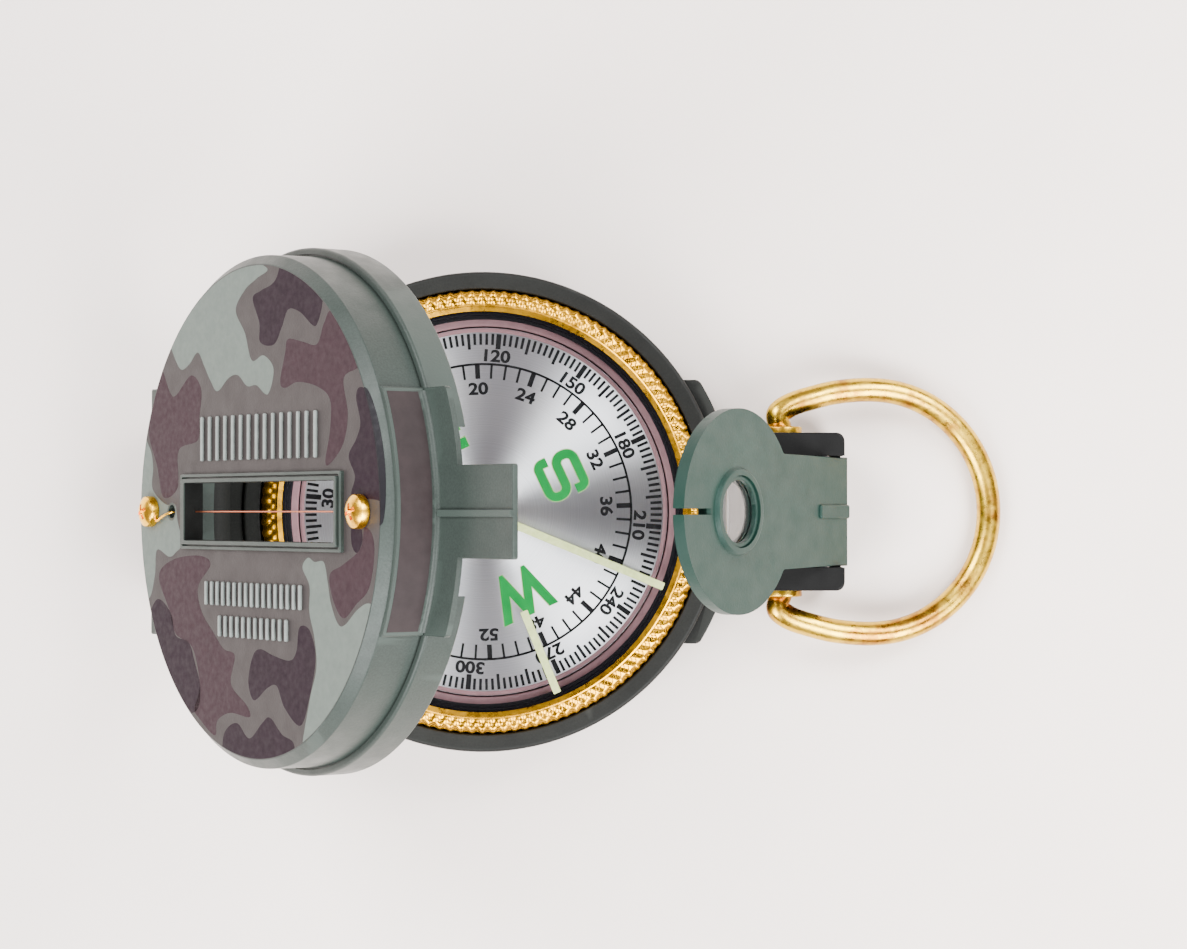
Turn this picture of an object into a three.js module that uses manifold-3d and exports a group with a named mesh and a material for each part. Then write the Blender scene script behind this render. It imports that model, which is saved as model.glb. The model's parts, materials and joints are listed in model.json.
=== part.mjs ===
// Folding sighting compass with a rotating bezel, a floating dial, a hinged cover and a hinged lens bracket.
// Millimetres, +Z up. The origin is the centre of the body's underside.
// +X runs from the cover hinge to the thumb loop. The cover and the bracket are drawn closed and then opened.
import * as THREE from "three";
import { mergeVertices } from "three/addons/utils/BufferGeometryUtils.js";
import Module from "manifold-3d";

const wasm = await Module();
wasm.setup();

// ---------------------------------------------------------------- driving dimensions
const GAP = 0.3;
const ROUND_STEPS = 72;
const PIN_STEPS = 20;

// body
const BODY_R = 27.5;
const RIM_TOP = 11;
const RIM_INNER_R = 25.7;
const LEDGE_Z = 8;
const WELL_R = 23.3;
const FLOOR_TOP = 2;
const FOOT_BEVEL = 0.7;
const EAR_R = 29.1;
const EAR_HALF_W = 15.2;
const EAR_TOP = 9;
const LUG_HALF_W = 8.97;
const LUG_END = 41.15;
const LUG_BOTTOM = 1.5;
const LUG_FLOOR = 8.6;
const CHEEK_TOP = 13.9;
const CHEEK_INNER_Y = 6.5;
const CHEEK_START = 29.8;

// capsule
const CUP_R = 23;
const CUP_INNER_R = 21.5;
const CUP_TOP = 8.7;
const CUP_FLOOR = 0.8;
const CARD_R = 21.1;
const CARD_Z = 8.2;
const CARD_T = 0.4;
const CARD_HOLE_R = 1.35;
const MAGNET = { length: 14, width: 2, height: 1.2, offset: 4 };

// bezel
const BEZEL_R = 25.3;
const BEZEL_BOTTOM = 9.35;
const BEZEL_TOP = 12;
const BEZEL_LIP_R = 22.9;
const CRYSTAL_R = 23.9;
const CRYSTAL_Z = 10.5;
const CRYSTAL_T = 0.8;
const GASKET_R = 22.1;
const INDEX_W = 0.9;
const INDEX_T = 0.15;
const INDEX_END_R = 22.4;
const INDEX_LINES = [
  { name: "index_line_long", angle: -22.5, start: 0.8 },
  { name: "index_line_short", angle: -67.5, start: 12.3 },
];

// cover, in its closed position
const COVER_OPEN = THREE.MathUtils.degToRad(54);
const HINGE_X = -31.4;
const HINGE_Z = 8.8;
const HINGE_R = 3;
const HINGE_HALF_W = 14;
const KNUCKLE_HALF_W = 7.2;
const COVER_BOTTOM = RIM_TOP + GAP;
const COVER_TOP = 20.6;
const COVER_WALL_R = 26.6;
const COVER_STEP_Z = 15;
const ROOF_T = 1.6;
const TAIL_HALF_W = 12.05;
const TAIL_R = 30.7;
const TAIL_T = 0.6;
const STEM_NOTCH_HALF_W = 7.1;
const TONGUE_HALF_W = 4.45;
const TONGUE_END = 39.8;
const WINDOW = { x0: -13.9, x1: 17.8, halfW: 3.1, frame: 0.9, raise: 0.7 };
const WIRE_R = 0.14;
const WIRE_Z = 19.8;
const SCREWS = [
  { name: "wire_screw_front", x: -22.6 },
  { name: "wire_screw_rear", x: 22 },
];
const SCREW_HEAD_R = 1.7;
const SCREW_HEAD_H = 1.15;
const SCREW_SHANK_R = 0.7;
const WIRE_HOLE_X = -18;

// lens bracket, in its folded position
const BRACKET_OPEN = THREE.MathUtils.degToRad(55.3);
const PIVOT_X = 38.84;
const PIVOT_Z = 12;
const BARREL_R = 1.6;
const BRACKET_T = 1.4;
const DISC_R = 11.1;
const DISC_X = 20.5;
const STEM_HALF_W = 6.2;
const STEM_TAIL = 2.9;
const LENS_X = 20.9;
const LENS_R = 3.9;
const BOSS_R = 4.8;
const BOSS_H = 0.45;
const LENS_SEAT = 0.3;
const SLOT_HALF_W = 0.33;
const SLOT_DEPTH = 4.9;

// thumb loop, flat in its own plane, with its pivot at the plane's origin
const LOOP_X = 34.6;
const LOOP_Z = 6;
const LOOP_WIRE_R = 1.4;
const LOOP_R = 14.25;
const LOOP_CENTRE = 10.8;
const LOOP_PIN_R = 1.1;
const LOOP_DROP = Math.asin((LOOP_Z - LOOP_WIRE_R - 0.05) / (LOOP_CENTRE + LOOP_R));
const BUSH_FLANGE_R = 2.3;
const BUSH_R = 1.9;

// ---------------------------------------------------------------- solids and how they join
function signedVolume(position, index) {
  const [a, b, c] = [new THREE.Vector3(), new THREE.Vector3(), new THREE.Vector3()];
  let volume = 0;
  for (let i = 0; i < index.length; i += 3) {
    a.fromBufferAttribute(position, index[i]);
    b.fromBufferAttribute(position, index[i + 1]);
    c.fromBufferAttribute(position, index[i + 2]);
    volume += a.dot(b.cross(c));
  }
  return volume;
}

// Shared vertices merged, collapsed triangles dropped and faces turned outwards.
function closed(geometry) {
  geometry.deleteAttribute("normal");
  geometry.deleteAttribute("uv");
  const merged = mergeVertices(geometry, 1e-3);
  const source = merged.index.array;
  const kept = [];
  for (let i = 0; i < source.length; i += 3) {
    const [p, q, r] = [source[i], source[i + 1], source[i + 2]];
    if (p !== q && q !== r && r !== p) kept.push(p, q, r);
  }
  if (signedVolume(merged.attributes.position, kept) < 0) kept.reverse();
  merged.setIndex(kept);
  return merged;
}

function toSolid(geometry) {
  const ready = closed(geometry);
  const mesh = new wasm.Mesh({
    numProp: 3,
    vertProperties: new Float32Array(ready.attributes.position.array),
    triVerts: new Uint32Array(ready.index.array),
  });
  return new wasm.Manifold(mesh);
}

function toGeometry(solid) {
  const mesh = solid.getMesh();
  const geometry = new THREE.BufferGeometry();
  geometry.setAttribute("position", new THREE.BufferAttribute(mesh.vertProperties, 3));
  geometry.setIndex(new THREE.BufferAttribute(mesh.triVerts, 1));
  return geometry;
}

const join = (first, ...others) => others.reduce((sum, next) => sum.add(next), first);
const cut = (first, ...others) => others.reduce((rest, next) => rest.subtract(next), first);

// A box from its low corner to its high corner.
function block(x0, y0, z0, x1, y1, z1) {
  const geometry = new THREE.BoxGeometry(x1 - x0, y1 - y0, z1 - z0);
  geometry.translate((x0 + x1) / 2, (y0 + y1) / 2, (z0 + z1) / 2);
  return toSolid(geometry);
}

// A turned solid about Z from a closed list of [radius, height] points.
function turned(points, steps = ROUND_STEPS) {
  const profile = points.map(([r, z]) => new THREE.Vector2(r, z));
  const first = profile[0];
  const last = profile[profile.length - 1];
  if (first.x > 0 || last.x > 0) profile.push(first.clone());
  return toSolid(new THREE.LatheGeometry(profile, steps).rotateX(Math.PI / 2));
}

function rod(radius, z0, z1, x = 0, y = 0, steps = PIN_STEPS) {
  const geometry = new THREE.CylinderGeometry(radius, radius, z1 - z0, steps);
  geometry.rotateX(Math.PI / 2);
  geometry.translate(x, y, (z0 + z1) / 2);
  return toSolid(geometry);
}

// A rod along Y.
function crossRod(radius, x, z, y0, y1, steps = PIN_STEPS) {
  const geometry = new THREE.CylinderGeometry(radius, radius, y1 - y0, steps);
  geometry.translate(x, (y0 + y1) / 2, z);
  return toSolid(geometry);
}

// A flat plate whose outline is drawn in X and Y.
function plate(shape, z0, z1, curveSegments = 12) {
  const geometry = new THREE.ExtrudeGeometry(shape, { depth: z1 - z0, bevelEnabled: false, curveSegments });
  geometry.translate(0, 0, z0);
  return toSolid(geometry);
}

// A plate whose outline is drawn in X and Z, standing between two values of Y.
function profilePlate(points, y0, y1) {
  const shape = new THREE.Shape(points.map(([x, z]) => new THREE.Vector2(x, z)));
  const geometry = new THREE.ExtrudeGeometry(shape, { depth: y1 - y0, bevelEnabled: false });
  geometry.rotateX(Math.PI / 2);
  geometry.translate(0, y1, 0);
  return toSolid(geometry);
}

// A disc sector block between two edges parallel to X, ending in an arc about the origin.
function arcBlock(startX, halfW, radius, z0, z1) {
  const halfAngle = Math.asin(halfW / radius);
  const shape = new THREE.Shape();
  shape.moveTo(startX, -halfW);
  shape.lineTo(radius * Math.cos(halfAngle), -halfW);
  shape.absarc(0, 0, radius, -halfAngle, halfAngle, false);
  shape.lineTo(startX, halfW);
  shape.closePath();
  return plate(shape, z0, z1);
}

// ---------------------------------------------------------------- finishes
const finishes = {
  bodyPlastic: { color: 0x464b46, roughness: 0.6, metalness: 0 },
  coverPlastic: { color: 0x6f7d76, roughness: 0.45, metalness: 0 },
  brass: { color: 0xe6b45a, roughness: 0.25, metalness: 1 },
  steel: { color: 0xb9bbbd, roughness: 0.3, metalness: 1 },
  copper: { color: 0x96737d, roughness: 0.35, metalness: 1 },
  dial: { color: 0xd8dadb, roughness: 0.35, metalness: 0.8 },
  rubber: { color: 0x17161a, roughness: 0.7, metalness: 0 },
  glow: { color: 0xdee6be, roughness: 0.6, metalness: 0 },
};

function named(name, solid, finish) {
  const mesh = new THREE.Mesh(toGeometry(solid), new THREE.MeshStandardMaterial(finishes[finish]));
  mesh.name = name;
  return mesh;
}

function glass(name, solid) {
  const finish = { color: 0xdfe8ea, roughness: 0.05, metalness: 0, transparent: true, opacity: 0.3 };
  const mesh = new THREE.Mesh(toGeometry(solid), new THREE.MeshStandardMaterial(finish));
  mesh.name = name;
  return mesh;
}

// ---------------------------------------------------------------- body
function baseHousing() {
  const ring = turned([
    [0, 0],
    [BODY_R - FOOT_BEVEL, 0],
    [BODY_R, FOOT_BEVEL],
    [BODY_R, RIM_TOP - 0.4],
    [BODY_R - 0.4, RIM_TOP],
    [RIM_INNER_R, RIM_TOP],
    [RIM_INNER_R, LEDGE_Z],
    [WELL_R, LEDGE_Z],
    [WELL_R, FLOOR_TOP],
    [0, FLOOR_TOP],
  ]);
  const ears = cut(
    arcBlock(20, EAR_HALF_W, EAR_R, FOOT_BEVEL, EAR_TOP),
    rod(BODY_R - 1, -1, RIM_TOP + 1, 0, 0, ROUND_STEPS),
  );
  const [lugStart, corner] = [25.8, 0.8];
  const lugOutline = new THREE.Shape();
  lugOutline.moveTo(lugStart, -LUG_HALF_W);
  lugOutline.lineTo(LUG_END - corner, -LUG_HALF_W);
  lugOutline.absarc(LUG_END - corner, -LUG_HALF_W + corner, corner, -Math.PI / 2, 0, false);
  lugOutline.absarc(LUG_END - corner, LUG_HALF_W - corner, corner, 0, Math.PI / 2, false);
  lugOutline.lineTo(lugStart, LUG_HALF_W);
  lugOutline.closePath();
  const lugBody = cut(
    plate(lugOutline, LUG_BOTTOM, CHEEK_TOP, 4),
    block(20, -20, LUG_FLOOR, CHEEK_START, 20, 30),
    block(20, -CHEEK_INNER_Y, LUG_FLOOR, 60, CHEEK_INNER_Y, 30),
    profilePlate([[29, 8.7], [33.2, CHEEK_TOP], [33.2, 20], [29, 20]], -20, 20),
    rod(BODY_R - 1, -1, RIM_TOP + 1, 0, 0, ROUND_STEPS),
  );
  const knuckle = join(
    crossRod(HINGE_R - 0.1, HINGE_X, HINGE_Z, -KNUCKLE_HALF_W, KNUCKLE_HALF_W),
    cut(
      profilePlate(
        [[HINGE_X, HINGE_Z - HINGE_R + 0.1], [-20, 3], [-20, 10.4], [HINGE_X + 2, 10.4]],
        -KNUCKLE_HALF_W, KNUCKLE_HALF_W,
      ),
      rod(BODY_R - 1, -1, RIM_TOP + 1, 0, 0, ROUND_STEPS),
    ),
  );
  const loopHoles = [1, -1].map((side) =>
    crossRod(BUSH_R + GAP, LOOP_X, LOOP_Z, Math.min(side * 6.8, side * 12), Math.max(side * 6.8, side * 12)));
  return cut(
    join(ring, ears, lugBody, knuckle),
    crossRod(1.2, HINGE_X, HINGE_Z, -20, 20),
    crossRod(1, PIVOT_X, PIVOT_Z, -8.75, 8.75),
    ...loopHoles,
  );
}

function bodyParts() {
  const group = new THREE.Group();
  group.add(named("base_housing", baseHousing(), "bodyPlastic"));
  group.add(named("cover_hinge_pin", crossRod(0.9, HINGE_X, HINGE_Z, -13.7, 13.7), "steel"));
  group.add(named("bracket_hinge_pin", crossRod(0.7, PIVOT_X, PIVOT_Z, -8.45, 8.45), "steel"));

  const cup = turned([
    [0, FLOOR_TOP + GAP],
    [CUP_R, FLOOR_TOP + GAP],
    [CUP_R, CUP_TOP],
    [CUP_INNER_R, CUP_TOP],
    [CUP_INNER_R, FLOOR_TOP + GAP + CUP_FLOOR],
    [0, FLOOR_TOP + GAP + CUP_FLOOR],
  ]);
  group.add(named("damping_cup", cup, "copper"));

  const post = turned([[0, 3.4], [2.4, 3.4], [2.4, 4.2], [0.8, 4.6], [0.6, 6.6], [0.15, 8.4], [0, 8.4]], PIN_STEPS);
  group.add(named("pivot_post", post, "steel"));

  const leaf = profilePlate(
    [[31, 8.9], [35.2, 8.9], [36.9, 10.2], [36.7, 10.4], [35, 9.15], [31, 9.15]], -3, 3);
  group.add(named("bracket_spring", leaf, "steel"));

  group.add(named("bezel_spring", waveRing(), "steel"));

  for (const side of [1, -1]) {
    const [flangeIn, flangeOut, tip] = [LUG_HALF_W + GAP, LUG_HALF_W + GAP + 0.6, 7.3];
    const low = (a, b) => Math.min(side * a, side * b);
    const high = (a, b) => Math.max(side * a, side * b);
    const bush = cut(
      join(
        crossRod(BUSH_FLANGE_R, LOOP_X, LOOP_Z, low(flangeIn, flangeOut), high(flangeIn, flangeOut)),
        crossRod(BUSH_R, LOOP_X, LOOP_Z, low(tip, flangeIn + 0.1), high(tip, flangeIn + 0.1)),
      ),
      crossRod(LOOP_PIN_R + GAP, LOOP_X, LOOP_Z, low(5, 15), high(5, 15)),
    );
    group.add(named(side > 0 ? "loop_bushing_left" : "loop_bushing_right", bush, "brass"));
  }
  return group;
}

// A flat ring bent into shallow waves, which presses the bezel up against its seat.
function waveRing() {
  const waves = 6;
  const steps = 72;
  const [inner, outer, thickness, height, z] = [24.3, 25.3, 0.25, 0.15, 8.55];
  const positions = [];
  const index = [];
  for (let i = 0; i < steps; i += 1) {
    const angle = (i / steps) * 2 * Math.PI;
    const lift = z + height * Math.sin(angle * waves);
    for (const [r, dz] of [[inner, 0], [outer, 0], [outer, thickness], [inner, thickness]]) {
      positions.push(r * Math.cos(angle), r * Math.sin(angle), lift + dz);
    }
    for (let k = 0; k < 4; k += 1) {
      const [a, b] = [i * 4 + k, i * 4 + ((k + 1) % 4)];
      const [c, d] = [((i + 1) % steps) * 4 + k, ((i + 1) % steps) * 4 + ((k + 1) % 4)];
      index.push(a, b, d, a, d, c);
    }
  }
  const geometry = new THREE.BufferGeometry();
  geometry.setAttribute("position", new THREE.Float32BufferAttribute(positions, 3));
  geometry.setIndex(index);
  return toSolid(geometry);
}

// ---------------------------------------------------------------- dial and bezel
function dialParts() {
  const group = new THREE.Group();
  const card = turned([
    [CARD_HOLE_R, CARD_Z],
    [CARD_R, CARD_Z],
    [CARD_R, CARD_Z + CARD_T],
    [CARD_HOLE_R, CARD_Z + CARD_T],
  ]);
  group.add(named("dial_card", card, "dial"));
  const jewel = turned([
    [0.75, 7.7], [1.05, 7.7], [1.05, 8.9], [1.9, 8.9], [1.9, 9.15], [0.7, 9.6], [0, 9.6], [0, 8.9], [0.4, 8.8],
  ].reverse(), PIN_STEPS);
  group.add(named("jewel_cup", jewel, "brass"));
  for (const side of [1, -1]) {
    const y = side * MAGNET.offset;
    const top = CARD_Z - GAP;
    const bar = block(
      -MAGNET.length / 2, y - MAGNET.width / 2, top - MAGNET.height,
      MAGNET.length / 2, y + MAGNET.width / 2, top);
    const mesh = named(side > 0 ? "dial_magnet_left" : "dial_magnet_right", bar, "steel");
    group.add(mesh);
  }
  return group;
}

function bezelParts() {
  const group = new THREE.Group();
  const lipUnder = CRYSTAL_Z + CRYSTAL_T + GAP;
  const ring = turned([
    [CRYSTAL_R + GAP, BEZEL_BOTTOM],
    [BEZEL_R - 0.2, BEZEL_BOTTOM],
    [BEZEL_R, BEZEL_BOTTOM + 0.2],
    [BEZEL_R, 11.1],
    [24.4, BEZEL_TOP],
    [23.2, BEZEL_TOP],
    [BEZEL_LIP_R, 11.75],
    [BEZEL_LIP_R, lipUnder],
    [CRYSTAL_R + GAP, lipUnder],
  ]);
  group.add(named("bezel_ring", ring, "brass"));
  group.add(glass("bezel_crystal", rod(CRYSTAL_R, CRYSTAL_Z, CRYSTAL_Z + CRYSTAL_T, 0, 0, ROUND_STEPS)));
  const gasketTop = CRYSTAL_Z - GAP;
  const gasket = turned([[GASKET_R, 9.2], [CRYSTAL_R, 9.2], [CRYSTAL_R, gasketTop], [GASKET_R, gasketTop]]);
  group.add(named("crystal_gasket", gasket, "rubber"));
  const lineZ = CRYSTAL_Z + CRYSTAL_T + GAP;
  for (const line of INDEX_LINES) {
    const strip = block(line.start, -INDEX_W / 2, lineZ, INDEX_END_R, INDEX_W / 2, lineZ + INDEX_T);
    const mesh = named(line.name, strip, "glow");
    mesh.rotation.z = THREE.MathUtils.degToRad(line.angle);
    group.add(mesh);
  }
  return group;
}

// ---------------------------------------------------------------- cover
function coverShell() {
  const frameTop = COVER_TOP + WINDOW.raise;
  const roofUnder = COVER_TOP - ROOF_T;
  const cap = turned([
    [0, COVER_BOTTOM],
    [BODY_R, COVER_BOTTOM],
    [BODY_R, COVER_STEP_Z - 0.3],
    [BODY_R - 0.3, COVER_STEP_Z],
    [COVER_WALL_R, COVER_STEP_Z],
    [COVER_WALL_R - 0.1, COVER_TOP - 1.1],
    [25.84, COVER_TOP - 0.25],
    [25.4, COVER_TOP],
    [0, COVER_TOP],
  ]);
  const inside = turned([
    [0, 5],
    [26, 5],
    [26, 13.6],
    [24.9, 14.4],
    [24.9, roofUnder],
    [0, roofUnder],
  ]);
  const underTail = COVER_STEP_Z - TAIL_T;
  const tail = arcBlock(18, TAIL_HALF_W, TAIL_R, underTail, COVER_STEP_Z);
  const tongue = block(24, -TONGUE_HALF_W, underTail, TONGUE_END, TONGUE_HALF_W, COVER_STEP_Z);
  const rib = block(26, -0.5, underTail, TONGUE_END, 0.2, COVER_STEP_Z + 0.35);
  const upper = arcBlock(18, TAIL_HALF_W, 27, COVER_STEP_Z - 0.5, COVER_TOP - 1);
  const hingeBar = profilePlate(
    [[-34.4, 12.9], [-34.4, 14.4], [-33.6, 15.2], [-18, 15.2], [-18, 12.9]], -HINGE_HALF_W, HINGE_HALF_W);
  const lugs = [1, -1].map((side) => {
    const y0 = Math.min(side * (KNUCKLE_HALF_W + 0.4), side * HINGE_HALF_W);
    const y1 = Math.max(side * (KNUCKLE_HALF_W + 0.4), side * HINGE_HALF_W);
    return join(
      block(HINGE_X - HINGE_R, y0, HINGE_Z, HINGE_X + HINGE_R - 0.2, y1, 13.5),
      crossRod(HINGE_R, HINGE_X, HINGE_Z, y0, y1, 24),
    );
  });
  const { x0, x1, halfW, frame } = WINDOW;
  const windowFrame = block(x0 - frame * 1.5, -halfW - frame, COVER_TOP - 1, x1 + frame, halfW + frame, frameTop);
  const solid = join(cap, tail, tongue, rib, upper, hingeBar, ...lugs, windowFrame);
  return cut(
    solid,
    inside,
    block(x0, -halfW, 10, x1, halfW, 30),
    // the folded bracket's stem passes through the flange here, and its disc lies in a round pocket
    block(20, -STEM_NOTCH_HALF_W, 5, 35, STEM_NOTCH_HALF_W, underTail),
    rod(DISC_R + GAP, 5, underTail, PIVOT_X - DISC_X, 0, ROUND_STEPS),
    crossRod(1.2, HINGE_X, HINGE_Z, -20, 20),
    ...SCREWS.map((screw) => rod(SCREW_SHANK_R + GAP, 10, 30, screw.x, 0)),
    // passages of the sighting wire: down from the face, then along the roof on both sides of the window
    rod(0.5, WIRE_Z, 30, WIRE_HOLE_X, 0),
    block(WIRE_HOLE_X - 0.5, -0.5, WIRE_Z - 0.5, x0 + 1, 0.5, WIRE_Z + 0.5),
    block(x1 - 1, -0.5, WIRE_Z - 0.5, SCREWS[1].x, 0.5, WIRE_Z + 0.5),
  );
}

// A round wire swept along a smooth curve through its points.
function wire(points, radius, sides, steps) {
  const path = new THREE.CatmullRomCurve3(points.map(([x, y, z]) => new THREE.Vector3(x, y, z)));
  const section = new THREE.Shape();
  section.absarc(0, 0, radius, 0, 2 * Math.PI, false);
  return toSolid(new THREE.ExtrudeGeometry(section, { steps, extrudePath: path, curveSegments: sides }));
}

function screw() {
  const top = COVER_TOP + GAP + SCREW_HEAD_H;
  const head = turned([
    [0, COVER_TOP - 2.2],
    [SCREW_SHANK_R, COVER_TOP - 2.2],
    [SCREW_SHANK_R, COVER_TOP + GAP],
    [SCREW_HEAD_R, COVER_TOP + GAP],
    [SCREW_HEAD_R, top - 0.6],
    [SCREW_HEAD_R * 0.85, top - 0.2],
    [SCREW_HEAD_R * 0.5, top],
    [0, top],
  ], 24);
  const slots = [0, 1].map((turn) => {
    const [long, thin] = [0.95, 0.22];
    const [hx, hy] = turn ? [thin, long] : [long, thin];
    return block(-hx, -hy, top - 0.6, hx, hy, top + 1);
  });
  return cut(head, ...slots);
}

function coverParts() {
  const group = new THREE.Group();
  group.add(named("cover_shell", coverShell(), "coverPlastic"));
  for (const item of SCREWS) {
    const mesh = named(item.name, screw(), "brass");
    mesh.position.x = item.x;
    group.add(mesh);
  }
  const points = [
    [-20.3, 0, COVER_TOP + 0.2],
    [-18.6, 0, COVER_TOP + 0.15],
    [-17.9, 0, WIRE_Z + 0.3],
    [-17, 0, WIRE_Z],
    [-10, 0, WIRE_Z],
    [0, 0, WIRE_Z],
    [10, 0, WIRE_Z],
    [20.6, 0, WIRE_Z],
  ];
  group.add(named("sight_wire", wire(points, WIRE_R, 3, 40), "steel"));
  return group;
}

// ---------------------------------------------------------------- lens bracket, about its pivot, pointing to -X
function lensBracket() {
  const under = BARREL_R - BRACKET_T;
  const disc = rod(DISC_R, under, BARREL_R, -DISC_X, 0, ROUND_STEPS);
  const stem = block(-DISC_X, -STEM_HALF_W, under, STEM_TAIL, STEM_HALF_W, BARREL_R);
  const barrel = crossRod(BARREL_R, 0, 0, -STEM_HALF_W, STEM_HALF_W, 24);
  const boss = rod(BOSS_R, under, BARREL_R + BOSS_H, -LENS_X, 0, 40);
  const rib = block(-3.5, -0.8, under, STEM_TAIL, 0.8, BARREL_R + 0.3);
  const tip = DISC_X + DISC_R;
  return cut(
    join(disc, stem, barrel, boss, rib),
    rod(LENS_R + GAP, under + LENS_SEAT, 10, -LENS_X, 0, 40),
    rod(LENS_R - 0.4, -5, 10, -LENS_X, 0, 40),
    block(-tip - 1, -SLOT_HALF_W, -5, -tip + SLOT_DEPTH, SLOT_HALF_W, 5),
    crossRod(1, 0, 0, -10, 10),
  );
}

function magnifier() {
  const seat = BARREL_R - BRACKET_T + LENS_SEAT + GAP;
  return turned([
    [0, seat], [LENS_R - 0.15, seat], [LENS_R, seat + 0.15], [LENS_R, seat + 0.3],
    [LENS_R * 0.75, seat + 0.55], [LENS_R * 0.4, seat + 0.7], [0, seat + 0.75],
  ], 40);
}

function lensRing() {
  const top = BARREL_R + BOSS_H;
  return turned([
    [3.35, top - 0.4], [3.9, top - 0.4], [3.9, top + 0.05], [3.35, top + 0.05],
  ], 40);
}

function bracketParts() {
  const group = new THREE.Group();
  group.add(named("lens_bracket", lensBracket(), "coverPlastic"));
  const lens = glass("magnifier_lens", magnifier());
  lens.position.x = -LENS_X;
  const ring = named("lens_retaining_ring", lensRing(), "coverPlastic");
  ring.position.x = -LENS_X;
  group.add(lens, ring);
  return group;
}

// ---------------------------------------------------------------- thumb loop, about its pivot
function thumbLoop() {
  const half = [
    [0, 9.3], [-0.35, 10.3], [-0.1, 11.25], [1.2, 12.15], [3.4, 13.05], [6.6, 13.9], [LOOP_CENTRE, LOOP_R],
  ];
  const arc = [];
  for (let deg = 75; deg > 0; deg -= 15) {
    const angle = THREE.MathUtils.degToRad(deg);
    arc.push([LOOP_CENTRE + LOOP_R * Math.cos(angle), LOOP_R * Math.sin(angle)]);
  }
  const upper = [...half, ...arc];
  const lower = [...upper].reverse().map(([x, y]) => [x, -y]);
  const points = [...upper, [LOOP_CENTRE + LOOP_R, 0], ...lower].map(([x, y]) => [x, y, 0]);
  const ends = [1, -1].map((side) =>
    crossRod(LOOP_PIN_R, 0, 0, Math.min(side * 7.6, side * 10.9), Math.max(side * 7.6, side * 10.9)));
  // the wire is thinned to the pin's size from the bushing's flange inwards
  const clear = LUG_HALF_W + GAP + 0.6 + GAP;
  const bow = cut(wire(points, LOOP_WIRE_R, 6, 64), block(-3, -clear, -3, 3, clear, 3));
  return join(bow, ...ends);
}

// ---------------------------------------------------------------- assembly
function hinged(children, x, z, turn, drawnAtPivot) {
  const pivot = new THREE.Group();
  pivot.position.set(x, 0, z);
  pivot.rotation.y = turn;
  if (!drawnAtPivot) children.position.set(-x, 0, -z);
  pivot.add(children);
  return pivot;
}

const loopGroup = new THREE.Group();
loopGroup.add(named("thumb_loop", thumbLoop(), "brass"));

const compass = new THREE.Group();
compass.add(bodyParts());
compass.add(dialParts());
compass.add(bezelParts());
compass.add(hinged(coverParts(), HINGE_X, HINGE_Z, -COVER_OPEN, false));
compass.add(hinged(bracketParts(), PIVOT_X, PIVOT_Z, BRACKET_OPEN, true));
compass.add(hinged(loopGroup, LOOP_X, LOOP_Z, LOOP_DROP, true));

export default compass;
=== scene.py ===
"""A folding sighting compass lying open on a pale table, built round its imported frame.

Lengths are in millimetres until a piece is delivered. Cover pieces are drawn with the cover shut and then
swung open about its hinge. Bracket and loop pieces are drawn flat about their own pins, then turned into
place.
"""

import json
from math import asin, atan2, cos, degrees, pi, radians, sin, tan

import bmesh
import bpy
from mathutils import Matrix, Vector


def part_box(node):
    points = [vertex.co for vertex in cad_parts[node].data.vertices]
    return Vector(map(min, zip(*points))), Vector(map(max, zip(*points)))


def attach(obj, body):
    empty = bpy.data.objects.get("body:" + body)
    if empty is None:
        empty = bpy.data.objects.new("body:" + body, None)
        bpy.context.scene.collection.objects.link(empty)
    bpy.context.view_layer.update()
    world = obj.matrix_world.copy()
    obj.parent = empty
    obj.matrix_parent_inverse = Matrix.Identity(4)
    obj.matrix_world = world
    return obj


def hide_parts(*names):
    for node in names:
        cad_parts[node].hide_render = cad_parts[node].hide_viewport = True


MM = 0.001
FINE = 256
SMALL = 96
ON_AXIS = 1e-6
LARGE_FACE_WEIGHT = 75
SAME_AREA = 1e-9

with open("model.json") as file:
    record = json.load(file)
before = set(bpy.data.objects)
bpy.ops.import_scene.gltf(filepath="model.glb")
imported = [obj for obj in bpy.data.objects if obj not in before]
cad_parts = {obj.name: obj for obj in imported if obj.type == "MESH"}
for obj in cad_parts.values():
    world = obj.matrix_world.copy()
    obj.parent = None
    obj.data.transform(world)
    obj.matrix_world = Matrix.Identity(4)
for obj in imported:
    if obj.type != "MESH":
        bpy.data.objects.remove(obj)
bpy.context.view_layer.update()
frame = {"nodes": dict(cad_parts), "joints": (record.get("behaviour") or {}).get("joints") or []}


# ---- sizes taken from the frame
def low(node):
    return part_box(node)[0] / MM


def high(node):
    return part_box(node)[1] / MM


def joint(name):
    return next(row for row in frame["joints"] if row["name"] == name)


def pivot(name):
    return Vector(joint(name)["pos_m"]) / MM


def spin(angle, axis):
    return Matrix.Rotation(radians(angle), 4, axis)


def shift(x=0.0, y=0.0, z=0.0):
    return Matrix.Translation((x, y, z))


HINGE = pivot("cover_hinge")
BRACKET_PIN = pivot("bracket_hinge")
LOOP_PIN = pivot("loop_hinge")
COVER_OPEN = -joint("cover_hinge")["range_deg"][0]
BRACKET_OPEN = -joint("bracket_hinge")["range_deg"][0]

LUG_END, BODY_R, CHEEK_TOP = high("base_housing")
CUP_FLOOR = low("damping_cup").z
CUP_R, CUP_TOP = high("damping_cup").yz
CARD_LOW = low("dial_card").z
CARD_R, CARD_TOP = high("dial_card").yz
GASKET_LOW = low("crystal_gasket").z
GASKET_TOP = high("crystal_gasket").z
CRYSTAL_LOW = low("bezel_crystal").z
CRYSTAL_R, CRYSTAL_TOP = high("bezel_crystal").yz
BEZEL_LOW = low("bezel_ring").z
BEZEL_R, BEZEL_TOP = high("bezel_ring").yz

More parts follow.
